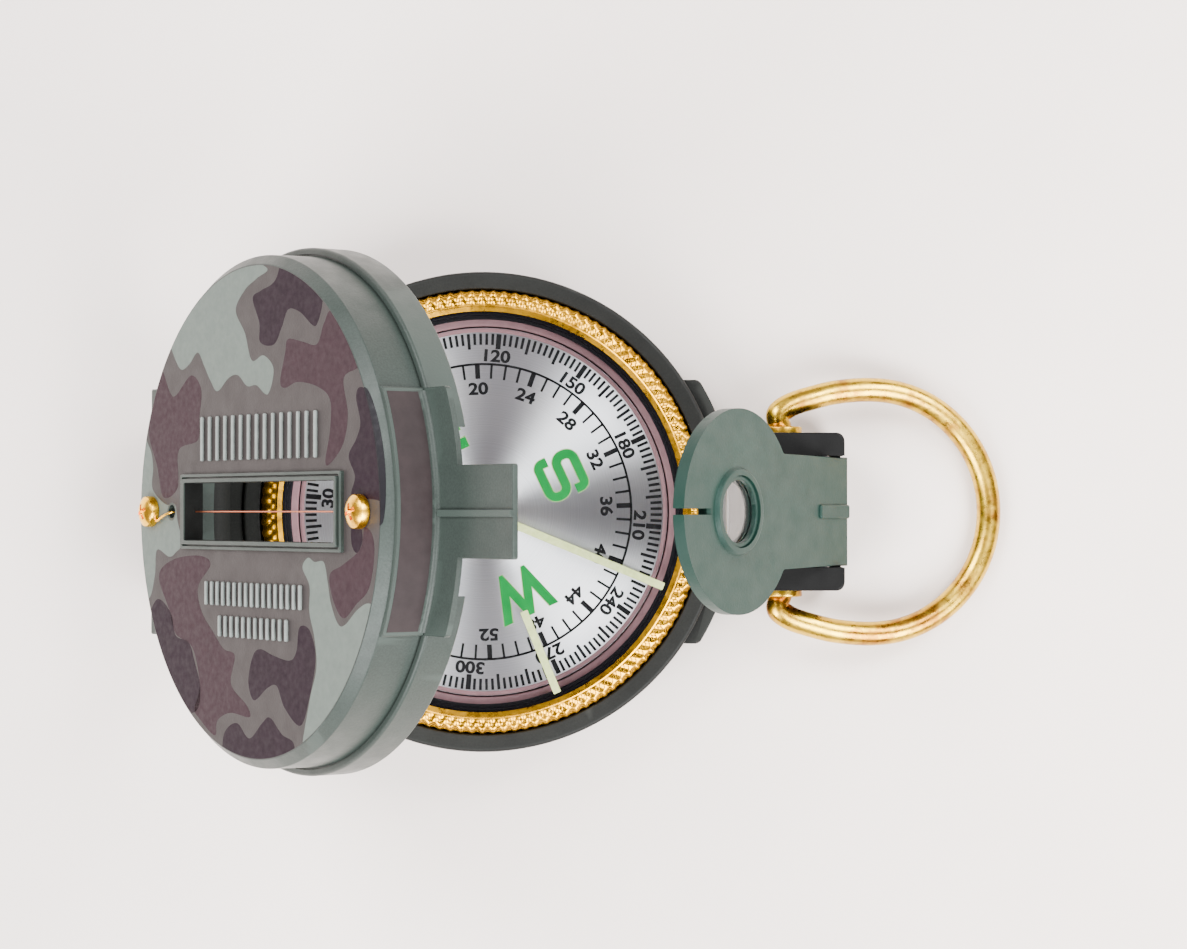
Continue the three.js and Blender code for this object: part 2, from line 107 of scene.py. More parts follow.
# ---- driving dimensions
RIM_TOP = 11
RIM_INNER_R = 25.5
LEDGE_Z = 8
WELL_R = 23.3
FLOOR_TOP = 2
EAR_R = 29.1
EAR_HALF_W = 15.2
EAR_TOP = 9
LUG_HALF_W = 8.97
LUG_SHADE_START = 29.2
LUG_SHADE_END = 30.5
LUG_BOTTOM = 1.5
LUG_FLOOR = 8.6
CHEEK_INNER_Y = 6.35
CHEEK_START = 29.8
KNUCKLE_HALF_W = 7.2
HINGE_R = 3

BEZEL_LIP_R = 22.9
KNURL_COUNT = 128
GASKET_R = 22.1

COVER_BOTTOM = 11.3
COVER_TOP = 20.6
COVER_WALL_R = 26.6
COVER_STEP_Z = 15
FACE_R = 25.5
CHAMFER = 1.0
CEILING = 19
LID_INNER_R = 24.9
TAIL_HALF_W = 12.05
TAIL_R = 30.7
TAIL_T = 0.6
STEM_NOTCH_HALF_W = 7.1
TONGUE_HALF_W = 4.45
TONGUE_END = 39.8
HINGE_HALF_W = 14
WINDOW_X0 = -13.9
WINDOW_X1 = 17.8
WINDOW_HALF_W = 3.1
WINDOW_FRAME = 0.9
WINDOW_RAISE = 0.7
WIRE_R = 0.09
WIRE_Z = 19.8
WIRE_HOLE_X = -18
FRONT_SCREW_X = -22.6
REAR_SCREW_X = 22
SCREW_HEAD_R = 1.7
PRINT_T = 0.02

PLATE_LOW = 0.2
PLATE_TOP = 1.6
DISC_R = 11.1
DISC_X = -20.5
STEM_HALF_W = 6.2
STEM_TAIL = 2.9
LENS_X = -20.9
LENS_R = 3.9
BOSS_R = 4.8
BOSS_TOP = 2.05
LENS_SEAT = 0.5
SLOT_HALF_W = 0.33
SLOT_DEPTH = 4.9

LOOP_WIRE_R = 1.4
LOOP_R = 14.25
LOOP_CENTRE = 10.8
LOOP_PIN_R = 1.1
LOOP_DROP = degrees(asin((LOOP_PIN.z - LOOP_WIRE_R - 0.05) / (LOOP_CENTRE + LOOP_R)))

FINISHES = {}
STILL = Matrix.Identity(4)
COVER_PLACE = Matrix.Translation(HINGE) @ spin(-COVER_OPEN, "Y") @ Matrix.Translation(-HINGE)
BRACKET_PLACE = Matrix.Translation(BRACKET_PIN) @ spin(BRACKET_OPEN, "Y")
LOOP_PLACE = Matrix.Translation(LOOP_PIN) @ spin(LOOP_DROP, "Y")


# ---- outlines
def polar(radius, angle, z):
    """The point at a radius, an angle in radians and a height."""
    return Vector((radius * cos(angle), radius * sin(angle), z))


def arc(centre, radius, start, end, steps):
    """Points on an arc between two angles in degrees, both ends included."""
    angles = [radians(start + (end - start) * i / steps) for i in range(steps + 1)]
    return [(centre[0] + radius * cos(a), centre[1] + radius * sin(a)) for a in angles]


def one_each(radii, points):
    """One radius for every point, from a list or from a single radius."""
    return radii if isinstance(radii, (list, tuple)) else [radii] * len(points)


def rounded(points, radii, steps=6):
    """An outline whose corners become arcs. radii is one radius, or one for each corner."""
    result = []
    for i, radius in enumerate(one_each(radii, points)):
        corner = Vector(points[i])
        if radius <= 0:
            result.append(tuple(corner))
            continue
        back = Vector(points[i - 1]) - corner
        ahead = Vector(points[(i + 1) % len(points)]) - corner
        half = back.angle(ahead) / 2
        reach = min(radius / tan(half), back.length * 0.49, ahead.length * 0.49)
        centre = corner + (back.normalized() + ahead.normalized()).normalized() * reach / cos(half)
        from_centre = corner + back.normalized() * reach - centre
        to_centre = corner + ahead.normalized() * reach - centre
        first = atan2(from_centre.y, from_centre.x)
        sweep = atan2(to_centre.y, to_centre.x) - first
        sweep = (sweep + pi) % (2 * pi) - pi
        result += arc(centre, from_centre.length, degrees(first), degrees(first + sweep), steps)
    return result


def rectangle(x0, y0, x1, y1):
    return [(x0, y0), (x1, y0), (x1, y1), (x0, y1)]


def spline(points, steps=8, closed=True):
    """A smooth curve through points of any dimension (Catmull-Rom)."""
    points = [Vector(p) for p in points]
    count = len(points)
    spans = count if closed else count - 1
    result = []
    for i in range(spans):
        near = [k % count if closed else min(max(k, 0), count - 1) for k in range(i - 1, i + 3)]
        a, b, c, d = (points[k] for k in near)
        for k in range(steps):
            t = k / steps
            result.append(
                b + (c - a) * (t / 2) + (a * 2 - b * 5 + c * 4 - d) * (t * t / 2)
                + (b * 3 - a - c * 3 + d) * (t * t * t / 2))
    if not closed:
        result.append(points[-1])
    return result


# ---- solids, in millimetres
def new_object(name, data):
    obj = bpy.data.objects.new(name, data)
    bpy.context.scene.collection.objects.link(obj)
    return obj


def from_bmesh(name, bm):
    bmesh.ops.recalc_face_normals(bm, faces=bm.faces)
    mesh = bpy.data.meshes.new(name)
    bm.to_mesh(mesh)
    bm.free()
    return new_object(name, mesh)


def skin(bm, rings):
    """Faces between each ring of vertices and the next. A ring of one vertex is a point on the axis."""
    for near, far in zip(rings, rings[1:]):
        for k in range(max(len(near), len(far))):
            n = k + 1
            corners = [near[k % len(near)], far[k % len(far)], far[n % len(far)], near[n % len(near)]]
            bm.faces.new(list(dict.fromkeys(corners)))


def turned(name, section, steps=FINE):
    """A solid turned about Z. The section lists (radius, height) points and closes, or ends on the axis."""
    bm = bmesh.new()
    rings = []
    for radius, z in section:
        turns = [2 * pi * k / steps for k in range(steps if radius > ON_AXIS else 1)]
        rings.append([bm.verts.new(polar(radius, angle, z)) for angle in turns])
    on_axis = len(rings[0]) == 1 and len(rings[-1]) == 1
    skin(bm, rings if on_axis else rings + rings[:1])
    return from_bmesh(name, bm)


def prism(name, outline, z0, z1, bevel=0.0):
    """An outline drawn in X and Y, made solid between two heights, with rounded edges."""
    bm = bmesh.new()
    floor = [bm.verts.new((x, y, z0)) for x, y in outline]
    roof = [bm.verts.new((x, y, z1)) for x, y in outline]
    bottom = bm.faces.new(floor[::-1])
    top = bm.faces.new(roof)
    for i in range(len(outline)):
        n = (i + 1) % len(outline)
        bm.faces.new((floor[i], floor[n], roof[n], roof[i]))
    if bevel:
        bmesh.ops.bevel(
            bm, geom=list(set(top.edges) | set(bottom.edges)), offset=bevel, segments=3, profile=0.5,
            affect="EDGES", clamp_overlap=True)
    return from_bmesh(name, bm)


def side_prism(name, outline, y0, y1, bevel=0.0):
    """An outline drawn in X and Z, made solid between two values of Y."""
    obj = prism(name, outline, -y1, -y0, bevel)
    obj.data.transform(spin(90, "X"))
    return obj


def block(name, x0, y0, z0, x1, y1, z1, bevel=0.0, corner=0.0):
    outline = rectangle(x0, y0, x1, y1)
    return prism(name, rounded(outline, corner, 4) if corner else outline, z0, z1, bevel)


def rod(name, radius, z0, z1, x=0.0, y=0.0, steps=SMALL):
    obj = turned(name, rectangle(0, z0, radius, z1), steps)
    obj.data.transform(shift(x, y))
    return obj


def cross_rod(name, radius, place, y0, y1, edge=0.0):
    """A rod along Y with rounded ends."""
    section = rectangle(0, -y1, radius, -y0)
    if edge:
        section = rounded(section, [0, edge, edge, 0], 4)
    obj = turned(name, section, SMALL)
    obj.data.transform(shift(place.x, 0, place.z) @ spin(90, "X"))
    return obj


def sector(name, start_x, half_w, radius, z0, z1, bevel=0.0, corner=0.35):
    """A slab between two edges parallel to X, which ends in an arc about the origin."""
    half = degrees(asin(half_w / radius))
    bow = arc((0, 0), radius, -half, half, 40)
    outline = [(start_x, -half_w)] + bow + [(start_x, half_w)]
    radii = [0] * len(outline)
    radii[1] = radii[-2] = corner
    return prism(name, rounded(outline, radii, 4), z0, z1, bevel)


def heading(path, i):
    """The direction of a path at one of its points."""
    return (path[min(i + 1, len(path) - 1)] - path[max(i - 1, 0)]).normalized()


def tube(name, path, radii, sides):
    """A round wire along a path. radii is one radius, or one for each point of the path."""
    bm = bmesh.new()
    path = [Vector(p) for p in path]
    rings = []
    across = heading(path, 0).orthogonal().normalized()
    for i, radius in enumerate(one_each(radii, path)):
        along = heading(path, i)
        across = (across - along * across.dot(along)).normalized()
        other = along.cross(across)
        ring = []
        for k in range(sides):
            angle = 2 * pi * k / sides
            out = across * cos(angle) + other * sin(angle)
            ring.append(bm.verts.new(path[i] + out * radius))
        rings.append(ring)
    skin(bm, rings)
    bm.faces.new(rings[0][::-1])
    bm.faces.new(rings[-1])
    return from_bmesh(name, bm)


def baked(obj):
    """The object's mesh with its modifiers or its text applied."""
    return bpy.data.meshes.new_from_object(obj.evaluated_get(bpy.context.evaluated_depsgraph_get()))


def combine(body, tools, operation):
    """Joins or cuts a solid with others, which are used up."""
    for tool in tools:
        step = body.modifiers.new("combine", "BOOLEAN")
        step.operation = operation
        step.solver = "MANIFOLD"
        step.object = tool
    mesh = baked(body)
    body.modifiers.clear()
    body.data = mesh
    for tool in tools:
        bpy.data.objects.remove(tool)
    return body


def join(body, *tools):
    return combine(body, tools, "UNION")


def cut(body, *tools):
    return combine(body, tools, "DIFFERENCE")


def keep_inside(body, *tools):
    return combine(body, tools, "INTERSECT")


def gathered(name, parts):
    """One mesh from many (object, matrix) pairs; the objects are used up."""
    bm = bmesh.new()
    for obj, place in parts:
        obj.data.transform(place)
        bm.from_mesh(obj.data)
        bpy.data.objects.remove(obj)
    return from_bmesh(name, bm)


def deliver(obj, body, finish, place=STILL, replaces=(), sharp=32):
    """Puts a finished solid in place, in metres, and hands it to its body."""
    obj.data.transform(place)
    obj.data.transform(Matrix.Scale(MM, 4))
    obj.data.shade_smooth()
    obj.data.set_sharp_from_angle(angle=radians(sharp))
    normals = obj.modifiers.new("even_shading", "WEIGHTED_NORMAL")
    normals.keep_sharp = True
    normals.weight = LARGE_FACE_WEIGHT
    normals.thresh = SAME_AREA
    obj.data.materials.clear()
    obj.data.materials.append(FINISHES[finish])
    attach(obj, body)
    if replaces:
        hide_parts(*replaces)
    return obj


def on_cover(obj, finish, replaces=(), sharp=32):
    """Hands over a piece that was drawn on the shut cover."""
    deliver(obj, "cover", finish, COVER_PLACE, replaces, sharp)


# ---- material helpers
def connect(tree, value, socket):
    """Links an input to a socket, or gives it a plain value. A colour gets its alpha here."""
    if isinstance(value, bpy.types.NodeSocket):
        tree.links.new(value, socket)
    else:
        socket.default_value = (*value, 1) if socket.type == "RGBA" else value


def fill(tree, node, **values):
    """Sets or links a node's inputs by name, with underscores for spaces."""
    for name, value in values.items():
        connect(tree, value, node.inputs[name.replace("_", " ")])


def add(tree, kind, **values):
    node = tree.nodes.new("ShaderNode" + kind)
    fill(tree, node, **values)
    return node


def new_finish(key, name):
    """Starts a material, kept in FINISHES under a short key, and gives its node tree."""
    material = bpy.data.materials.new(name)
    material.use_nodes = True
    FINISHES[key] = material
    return material.node_tree


def principled(tree):
    return tree.nodes["Principled BSDF"]


def paint(tree, **values):
    fill(tree, principled(tree), **values)


def coordinates(tree):
    return add(tree, "TexCoord").outputs["Object"]


def noise(tree, scale, detail=3.0, roughness=0.55, stretch=(1, 1, 1)):
    place = add(tree, "Mapping", Vector=coordinates(tree), Scale=stretch).outputs["Vector"]
    node = add(tree, "TexNoise", Vector=place, Scale=scale, Detail=detail, Roughness=roughness)
    return node.outputs["Fac"]


def ramp(tree, factor, stops):
    """A colour ramp from (position, colour) stops; a plain number as colour makes a grey."""
    node = add(tree, "ValToRGB", Fac=factor)
    elements = node.color_ramp.elements
    while len(elements) < len(stops):
        elements.new(0.5)
    for element, (position, colour) in zip(elements, stops):
        element.position = position
        shade = (colour,) * 3 if isinstance(colour, (int, float)) else colour
        element.color = (*shade, 1)
    return node.outputs["Color"]


def uneven(tree, scale, detail, first, second):
    """Clouds that drift between two colours or two plain values."""
    return ramp(tree, noise(tree, scale, detail), [(0.3, first), (0.7, second)])


def mix(tree, factor, first, second, blend="MIX"):
    """Mixes two colours, given as sockets or as tuples."""
    node = tree.nodes.new("ShaderNodeMix")
    node.data_type = "RGBA"
    node.blend_type = blend
    fill(tree, node, Factor=factor, A=first, B=second)
    return node.outputs["Result"]


def bump(tree, height, depth, strength):
    """Surface relief; its depth is in millimetres."""
    node = add(tree, "Bump", Height=height, Distance=depth * MM, Strength=strength)
    paint(tree, Normal=node.outputs["Normal"])


def edges(tree):
    """White along outer edges, black elsewhere."""
    outline = add(tree, "NewGeometry").outputs["Pointiness"]
    return ramp(tree, outline, [(0.52, 0.0), (0.6, 1.0)])


def shaded(colour, factor):
    return tuple(min(1.0, c * factor) for c in colour)


# ---- materials
def moulded_plastic(key, name, colour, roughness, worn, grain, specular):
    """Satin plastic: cloudy colour, fine speckle, a leathery grain and lighter edges, partly rubbed wear and
    partly a painted highlight.
    """
    tree = new_finish(key, name)
    cloud = uneven(tree, 160, 4, shaded(colour, 1 - grain), shaded(colour, 1 + grain))
    speckle = ramp(tree, noise(tree, 5200, 2), [(0.35, 0.8), (0.65, 1.2)])
    speckled = mix(tree, 0.6, cloud, speckle, "MULTIPLY")
    # lighter outer edges: part rubbed wear, part painted highlight
    paint(
        tree, Base_Color=mix(tree, edges(tree), speckled, shaded(colour, worn)),
        Roughness=uneven(tree, 420, 5, roughness - 0.06, roughness + 0.08), Specular_IOR_Level=specular)
    bump(tree, noise(tree, 3800, 3), 0.03, 0.5)


def body_plastic(colour, lug_colour):
    """The housing's satin plastic, its colour turning nearly black towards the rear lug."""
    moulded_plastic("body", "body_plastic", colour, 0.5, 2.0, 0.12, 0.12)
    tree = FINISHES["body"].node_tree
    place = add(tree, "SeparateXYZ", Vector=coordinates(tree))
    reach = add(
        tree, "MapRange", Value=place.outputs["X"],
        From_Min=LUG_SHADE_START * MM, From_Max=LUG_SHADE_END * MM)
    moulded = principled(tree).inputs["Base Color"].links[0].from_socket
    paint(tree, Base_Color=mix(tree, reach.outputs["Result"], moulded, lug_colour))


def cast_metal(key, name, light, dark, roughness, stain):
    """Plated or worn metal: two tones in cloudy stains, small pits and uneven polish."""
    tree = new_finish(key, name)
    stains = noise(tree, 260, 6, 0.65)
    colour = ramp(tree, stains, [(stain - 0.16, dark), (stain, light), (0.85, shaded(light, 1.05))])
    freckles = ramp(tree, noise(tree, 1700, 3, 0.6), [(0.3, 0.55), (0.42, 1.0)])
    polish = ramp(tree, noise(tree, 900, 4), [(0.3, roughness), (0.75, roughness + 0.18)])
    paint(tree, Base_Color=mix(tree, 0.7, colour, freckles, "MULTIPLY"), Roughness=polish, Metallic=1)
    bump(tree, noise(tree, 1500, 4), 0.02, 0.6)


def brushed_steel():
    tree = new_finish("steel", "brushed_steel")
    streaks = noise(tree, 900, 4, 0.6, (1, 0.05, 1))
    paint(
        tree, Base_Color=ramp(tree, streaks, [(0.3, 0.28), (0.7, 0.55)]),
        Roughness=ramp(tree, streaks, [(0.3, 0.25), (0.7, 0.42)]), Metallic=1)
    bump(tree, streaks, 0.01, 0.5)


def dial_metal():
    """Silver sheet with a spun finish: fine rings about the centre that draw light into radial fans."""
    tree = new_finish("dial", "dial_silver")
    flat = add(tree, "VectorMath", Vector=coordinates(tree))
    flat.operation = "MULTIPLY"
    flat.inputs[1].default_value = (1, 1, 0)
    reach = add(tree, "VectorMath", Vector=flat.outputs["Vector"])
    reach.operation = "LENGTH"
    rings = tree.nodes.new("ShaderNodeTexNoise")
    rings.noise_dimensions = "1D"
    fill(tree, rings, W=reach.outputs["Value"], Scale=9000, Detail=2)
    tint = uneven(tree, 120, 3, (0.80, 0.80, 0.84), (0.90, 0.88, 0.90))
    lines = ramp(tree, rings.outputs["Fac"], [(0.3, 0.86), (0.7, 1.0)])
    tangent = tree.nodes.new("ShaderNodeTangent")
    tangent.direction_type = "RADIAL"
    tangent.axis = "Z"
    paint(
        tree, Base_Color=mix(tree, 1.0, tint, lines, "MULTIPLY"), Metallic=1, Roughness=0.42,
        Anisotropic=0.93, Anisotropic_Rotation=0.25, Tangent=tangent.outputs["Tangent"])
    bump(tree, rings.outputs["Fac"], 0.002, 0.6)


def ink(key, name, colour, roughness=0.5, clouding=0.15, specular=0.3):
    """Printed ink or paint: slightly uneven cover with a fine tooth."""
    tree = new_finish(key, name)
    paint(
        tree,
        Base_Color=uneven(tree, 700, 4, shaded(colour, 1 - clouding), shaded(colour, 1 + clouding)),
        Roughness=uneven(tree, 1500, 3, roughness - 0.08, roughness + 0.1), Specular_IOR_Level=specular)
    bump(tree, noise(tree, 4200, 2), 0.01, 0.4)


def clear_crystal():
    """Thin clear plastic: lets light straight through, with a soft gloss and faint handling marks."""
    tree = new_finish("crystal", "clear_crystal")
    tree.nodes.remove(principled(tree))
    through = add(tree, "BsdfTransparent", Color=(0.97, 0.98, 0.98))
    marks = ramp(tree, noise(tree, 300, 6, 0.7), [(0.35, 0.02), (0.8, 0.09)])
    gloss = add(tree, "BsdfGlossy", Color=(0.35, 0.35, 0.37), Roughness=marks)
    slant = add(tree, "LayerWeight").outputs["Facing"]
    shine = ramp(tree, slant, [(0.0, 0.02), (0.55, 0.05), (0.8, 0.18), (1.0, 0.8)])
    blend = add(tree, "MixShader", Fac=shine)
    connect(tree, through.outputs["BSDF"], blend.inputs[1])
    connect(tree, gloss.outputs["BSDF"], blend.inputs[2])
    connect(tree, blend.outputs["Shader"], tree.nodes["Material Output"].inputs["Surface"])


def lens_glass():
    tree = new_finish("lens", "lens_glass")
    haze = ramp(tree, noise(tree, 600, 4), [(0.4, 0.0), (0.9, 0.06)])
    paint(tree, Base_Color=(0.97, 0.97, 0.98), Transmission_Weight=1, IOR=1.5, Roughness=haze)


def luminous_paint():
    """Pale yellow-green paint that lets a little of the dial show through."""
    tree = new_finish("glow", "luminous_paint")
    paint(
        tree, Base_Color=uneven(tree, 2600, 3, (0.42, 0.50, 0.18), (0.54, 0.60, 0.27)),
        Roughness=0.6, Alpha=uneven(tree, 500, 2, 0.8, 0.95))
    bump(tree, noise(tree, 2600, 3), 0.02, 0.5)


def tabletop():
    """Pale seamless paper with a painted light falloff: a touch brighter and warmer towards the loop's side.
    """
    tree = new_finish("paper", "tabletop")
    slide = add(
        tree, "Mapping", Vector=coordinates(tree), Location=(0.5, 0.5, 0),
        Rotation=(0, 0, radians(30)), Scale=(4, 4, 4))
    # painted light: a colour gradient across the paper stands in for uneven lighting
    painted_light_falloff = add(tree, "TexGradient", Vector=slide.outputs["Vector"])
    paper = ramp(tree, painted_light_falloff.outputs["Fac"], [(0.1, (0.66, 0.60, 0.57)), (0.9, (0.84, 0.75, 0.69))])
    fibre = uneven(tree, 60, 4, 0.97, 1.0)
    paint(
        tree, Base_Color=mix(tree, 1.0, paper, fibre, "MULTIPLY"), Roughness=0.8,
        Specular_IOR_Level=0.1)
    bump(tree, noise(tree, 700, 3), 0.05, 0.2)


def make_finishes():
    body_plastic((0.0108, 0.0114, 0.0104), (0.0026, 0.0027, 0.0027))
    moulded_plastic("cover", "cover_plastic", (0.0225, 0.0305, 0.0265), 0.42, 1.45, 0.08, 0.22)
    moulded_plastic("bracket", "bracket_plastic", (0.0068, 0.0245, 0.0185), 0.42, 1.0, 0.12, 0.2)
    # painted shade: near-black sheet standing in for the shadowed insides of the lid and window
    moulded_plastic("shade", "painted_shade_black", (0.0045, 0.0052, 0.0048), 0.6, 1.2, 0.2, 0.1)
    cast_metal("bezel", "bezel_gold", (0.72, 0.36, 0.012), (0.24, 0.10, 0.006), 0.22, 0.46)
    cast_metal("loop", "loop_brass", (0.70, 0.45, 0.035), (0.34, 0.15, 0.015), 0.22, 0.56)
    cast_metal("screw", "screw_gold", (1.0, 0.55, 0.03), (0.42, 0.15, 0.01), 0.18, 0.45)
    cast_metal("wire", "wire_copper", (0.50, 0.16, 0.08), (0.22, 0.06, 0.04), 0.3, 0.4)
    brushed_steel()
    dial_metal()
    ink("pink", "cup_pink", (0.22, 0.115, 0.125), 0.35, 0.1)
    ink("rubber", "gasket_rubber", (0.002, 0.0015, 0.003), 0.5, 0.2, 0.15)
    ink("black_ink", "dial_black", (0.002, 0.002, 0.0024), 0.45, 0.2, 0.15)
    ink("green", "letter_green", (0.0, 0.18, 0.034), 0.5, 0.08, 0.0)
    ink("halo", "letter_halo", (0.22, 0.36, 0.13), 0.6, 0.1)
    luminous_paint()
    clear_crystal()
    lens_glass()
    moulded_plastic("ground", "camo_ground", (0.0235, 0.0200, 0.0195), 0.5, 1.2, 0.06, 0.15)
    ink("pale", "camo_pale", (0.080, 0.098, 0.086), 0.5, 0.06, 0.15)
    ink("mauve", "camo_mauve", (0.0185, 0.0075, 0.0112), 0.5, 0.08, 0.1)
    # painted reflection: this colour on the block's end wall stands in for the pinkish room it reflects
    ink("block", "painted_reflection_mauve", (0.0195, 0.0140, 0.0145), 0.5, 0.12, 0.15)
    ink("dark", "camo_dark", (0.0080, 0.0028, 0.0066), 0.5, 0.1, 0.08)
    ink("bars", "bar_silver", (0.15, 0.17, 0.16), 0.4, 0.12)
    tabletop()


# ---- body
def housing():
    """The dark base: round bowl, side ears, rear lug with two cheeks, and hinge knuckle."""
    seam = 5.45
    bowl = turned("housing", rounded([
        (0, 0.3), (17, 0.3), (17.4, 0), (BODY_R, 0), (BODY_R, seam - 0.1), (BODY_R - 0.07, seam),
        (BODY_R, seam + 0.1), (BODY_R, RIM_TOP), (RIM_INNER_R, RIM_TOP), (RIM_INNER_R, LEDGE_Z),
        (WELL_R, LEDGE_Z), (WELL_R, FLOOR_TOP), (0, FLOOR_TOP),
    ], [0, 0, 0, 0.7, 0, 0, 0, 0.45, 0.2, 0.1, 0.15, 0.3, 0]))

    ears = sector("ears", 20, EAR_HALF_W, EAR_R, 0.8, EAR_TOP, 0.35, 0.9)
    lug_outline = rounded(rectangle(25.8, -LUG_HALF_W, LUG_END, LUG_HALF_W), [0, 0.9, 0.9, 0], 6)
    lug = prism("lug", lug_outline, LUG_BOTTOM, CHEEK_TOP, 0.3)
    cut(
        lug,
        block("over_floor", 20, -20, LUG_FLOOR, CHEEK_START, 20, 30),
        block("channel", 20, -CHEEK_INNER_Y, LUG_FLOOR, 60, CHEEK_INNER_Y, 30),
        side_prism("ramp", [(28.5, 8.1), (33.2, CHEEK_TOP), (33.2, 20), (28.5, 20)], -20, 20),
    )
    arm = side_prism("arm", [
        (HINGE.x, HINGE.z - HINGE_R + 0.1), (-20, 3), (-20, 10.4), (HINGE.x + 2, 10.4)],
        -KNUCKLE_HALF_W, KNUCKLE_HALF_W, 0.2)
    for part in (ears, lug, arm):
        cut(part, rod("bowl_space", BODY_R - 0.6, -1, RIM_TOP + 1, steps=FINE))
    knuckle = cross_rod(
        "knuckle", HINGE_R - 0.1, HINGE, -KNUCKLE_HALF_W, KNUCKLE_HALF_W, 0.3)
    join(bowl, ears, lug, arm, knuckle)
    bush_r = high("loop_bushing_left").z - LOOP_PIN.z
    cut(
        bowl,
        cross_rod("hinge_hole", 1.1, HINGE, -20, 20),
        cross_rod("pin_hole", 0.9, BRACKET_PIN, -8.75, 8.75),
        cross_rod("loop_hole_left", bush_r - 0.2, LOOP_PIN, 7.1, 12),
        cross_rod("loop_hole_right", bush_r - 0.2, LOOP_PIN, -12, -7.1),
    )
    deliver(bowl, "body", "body", replaces=["base_housing"])


def damping_cup():
    """The bowl round the dial; its rim reaches in almost to the card."""
    rim = CARD_R + 0.28
    wall = CUP_R - 1.5
    floor = CUP_FLOOR + 0.8
    cup = turned("cup", rounded([
        (0, CUP_FLOOR), (CUP_R, CUP_FLOOR), (CUP_R, CUP_TOP), (CUP_R - 0.35, CUP_TOP + 0.25),
        (rim, CUP_TOP), (rim, CUP_TOP - 0.6), (wall, CUP_TOP - 0.8), (wall, floor), (0, floor),
    ], [0, 0.2, 0.1, 0.1, 0.15, 0.05, 0.05, 0.4, 0]))
    deliver(cup, "body", "pink", replaces=["damping_cup"])


def bushings():
    """Flanged brass sleeves that carry the thumb loop's ends."""
    for side, node in ((1, "loop_bushing_left"), (-1, "loop_bushing_right")):
        inner_y = 7.3
        flange_in = LUG_HALF_W + 0.05
        flange_out = max(abs(low(node).y), abs(high(node).y))
        flange_r = high(node).z - LOOP_PIN.z
        bore = LOOP_PIN_R + 0.12
        sleeve = turned("bushing" + ("_left" if side > 0 else "_right"), rounded([
            (bore, inner_y), (flange_r - 0.6, inner_y), (flange_r - 0.6, flange_in), (flange_r, flange_in),
            (flange_r, flange_out), (bore, flange_out),
        ], [0.1, 0.1, 0, 0.12, 0.2, 0.15], 4), SMALL)
        place = Matrix.Translation(LOOP_PIN) @ spin(-90 * side, "X")
        deliver(sleeve, "body", "loop", place, [node])


# ---- dial
BEARING_ZERO = 205
CAPITAL_SHARE = 0.72
DEGREE_FIGURE_R = 18.0
MIL_SCALE_R = 17.02
MIL_FIGURE_R = 14.2
LETTERS = {"N": 0, "E": 90, "S": 180, "W": 270}


def radial(bearing, radius, z=CARD_TOP):
    """Places something at a bearing on the dial with its top turned outwards."""
    angle = radians(BEARING_ZERO - bearing)
    return Matrix.Translation(polar(radius, angle, z)) @ Matrix.Rotation(angle - pi / 2, 4, "Z")


def label(text, height, thicken=0.0, thickness=PRINT_T, widen=1.0):
    """Flat lettering of a given capital height, centred, on Z = 0, its strokes swollen by an amount."""
    data = bpy.data.curves.new("label", "FONT")
    data.body = text
    data.size = height / CAPITAL_SHARE
    data.align_x = "CENTER"
    data.align_y = "CENTER"
    data.extrude = 0.01
    data.bevel_depth = thicken
    data.bevel_resolution = 0
    data.resolution_u = 6
    writing = new_object("writing", data)
    bpy.context.view_layer.update()
    bm = bmesh.new()
    bm.from_mesh(baked(writing))
    bpy.data.objects.remove(writing)
    bmesh.ops.remove_doubles(bm, verts=bm.verts, dist=1e-4)
    corners = [[v.co[axis] for v in bm.verts] for axis in range(3)]
    centre = Vector([(max(values) + min(values)) / 2 for values in corners])
    squeeze = thickness / (max(corners[2]) - min(corners[2]))
    for vert in bm.verts:
        place = vert.co - centre
        vert.co = (place.x * widen, place.y, place.z * squeeze + thickness / 2)
    return from_bmesh("label", bm)


def dial_scales():
    """Degree ticks and figures outside, mil ticks and figures inside, in black ink."""
    parts = []

    def tick(bearing, width, end_r, length):
        mark = block("tick", -width / 2, end_r - length, 0, width / 2, end_r, PRINT_T)
        parts.append((mark, radial(bearing, 0)))

    def figure(bearing, number, radius):
        parts.append((label(str(number), 1.36, 0.065, widen=1.2), radial(bearing, radius)))

    outer = CARD_R - 0.55
    for bearing in range(0, 360, 2):
        if bearing % 30 == 0:
            tick(bearing, 0.58, outer, 1.75)
        elif bearing % 10 == 0:
            tick(bearing, 0.34, outer, 1.8)
        else:
            tick(bearing, 0.31, outer, 1.3)
    for bearing in range(0, 360, 30):
        figure(bearing, bearing, DEGREE_FIGURE_R)
    for step in range(64):
        bearing = step * 360 / 64
        numbered = step % 4 == 0
        tick(bearing, 0.56 if numbered else 0.27, MIL_SCALE_R, 1.68)
        if numbered:
            figure(bearing, step or 64, MIL_FIGURE_R)
    line = rectangle(MIL_SCALE_R - 0.13, CARD_TOP, MIL_SCALE_R + 0.13, CARD_TOP + PRINT_T)
    parts.append((turned("line", line), STILL))
    deliver(gathered("dial_scales", parts), "dial", "black_ink")


def ribbon(path, width, thickness):
    """A flat band of even width along a path drawn in X and Y."""
    left, right = [], []
    path = [Vector(p) for p in path]
    for i, point in enumerate(path):
        along = heading(path, i)
        across = Vector((-along.y, along.x)) * (width / 2)
        left.append(tuple(point + across))
        right.append(tuple(point - across))
    return prism("ribbon", left + right[::-1], 0, thickness)


def big_letter(text, swell, thickness):
    """One of the four letters, its strokes swollen. The S is drawn square, with round corners."""
    if text != "S":
        return label(text, 5.2 - swell, 0.26 + swell, thickness, 0.82 if text == "W" else 1.0)
    side, height, hook = 2.1, 2.15, 0.9
    turns = [
        (side, hook), (side, height), (-side, height), (-side, 0), (side, 0), (side, -height),
        (-side, -height), (-side, -hook)]
    return ribbon(rounded(turns, [0] + [0.95] * 6 + [0], 8), 1.0 + 2 * swell, thickness)


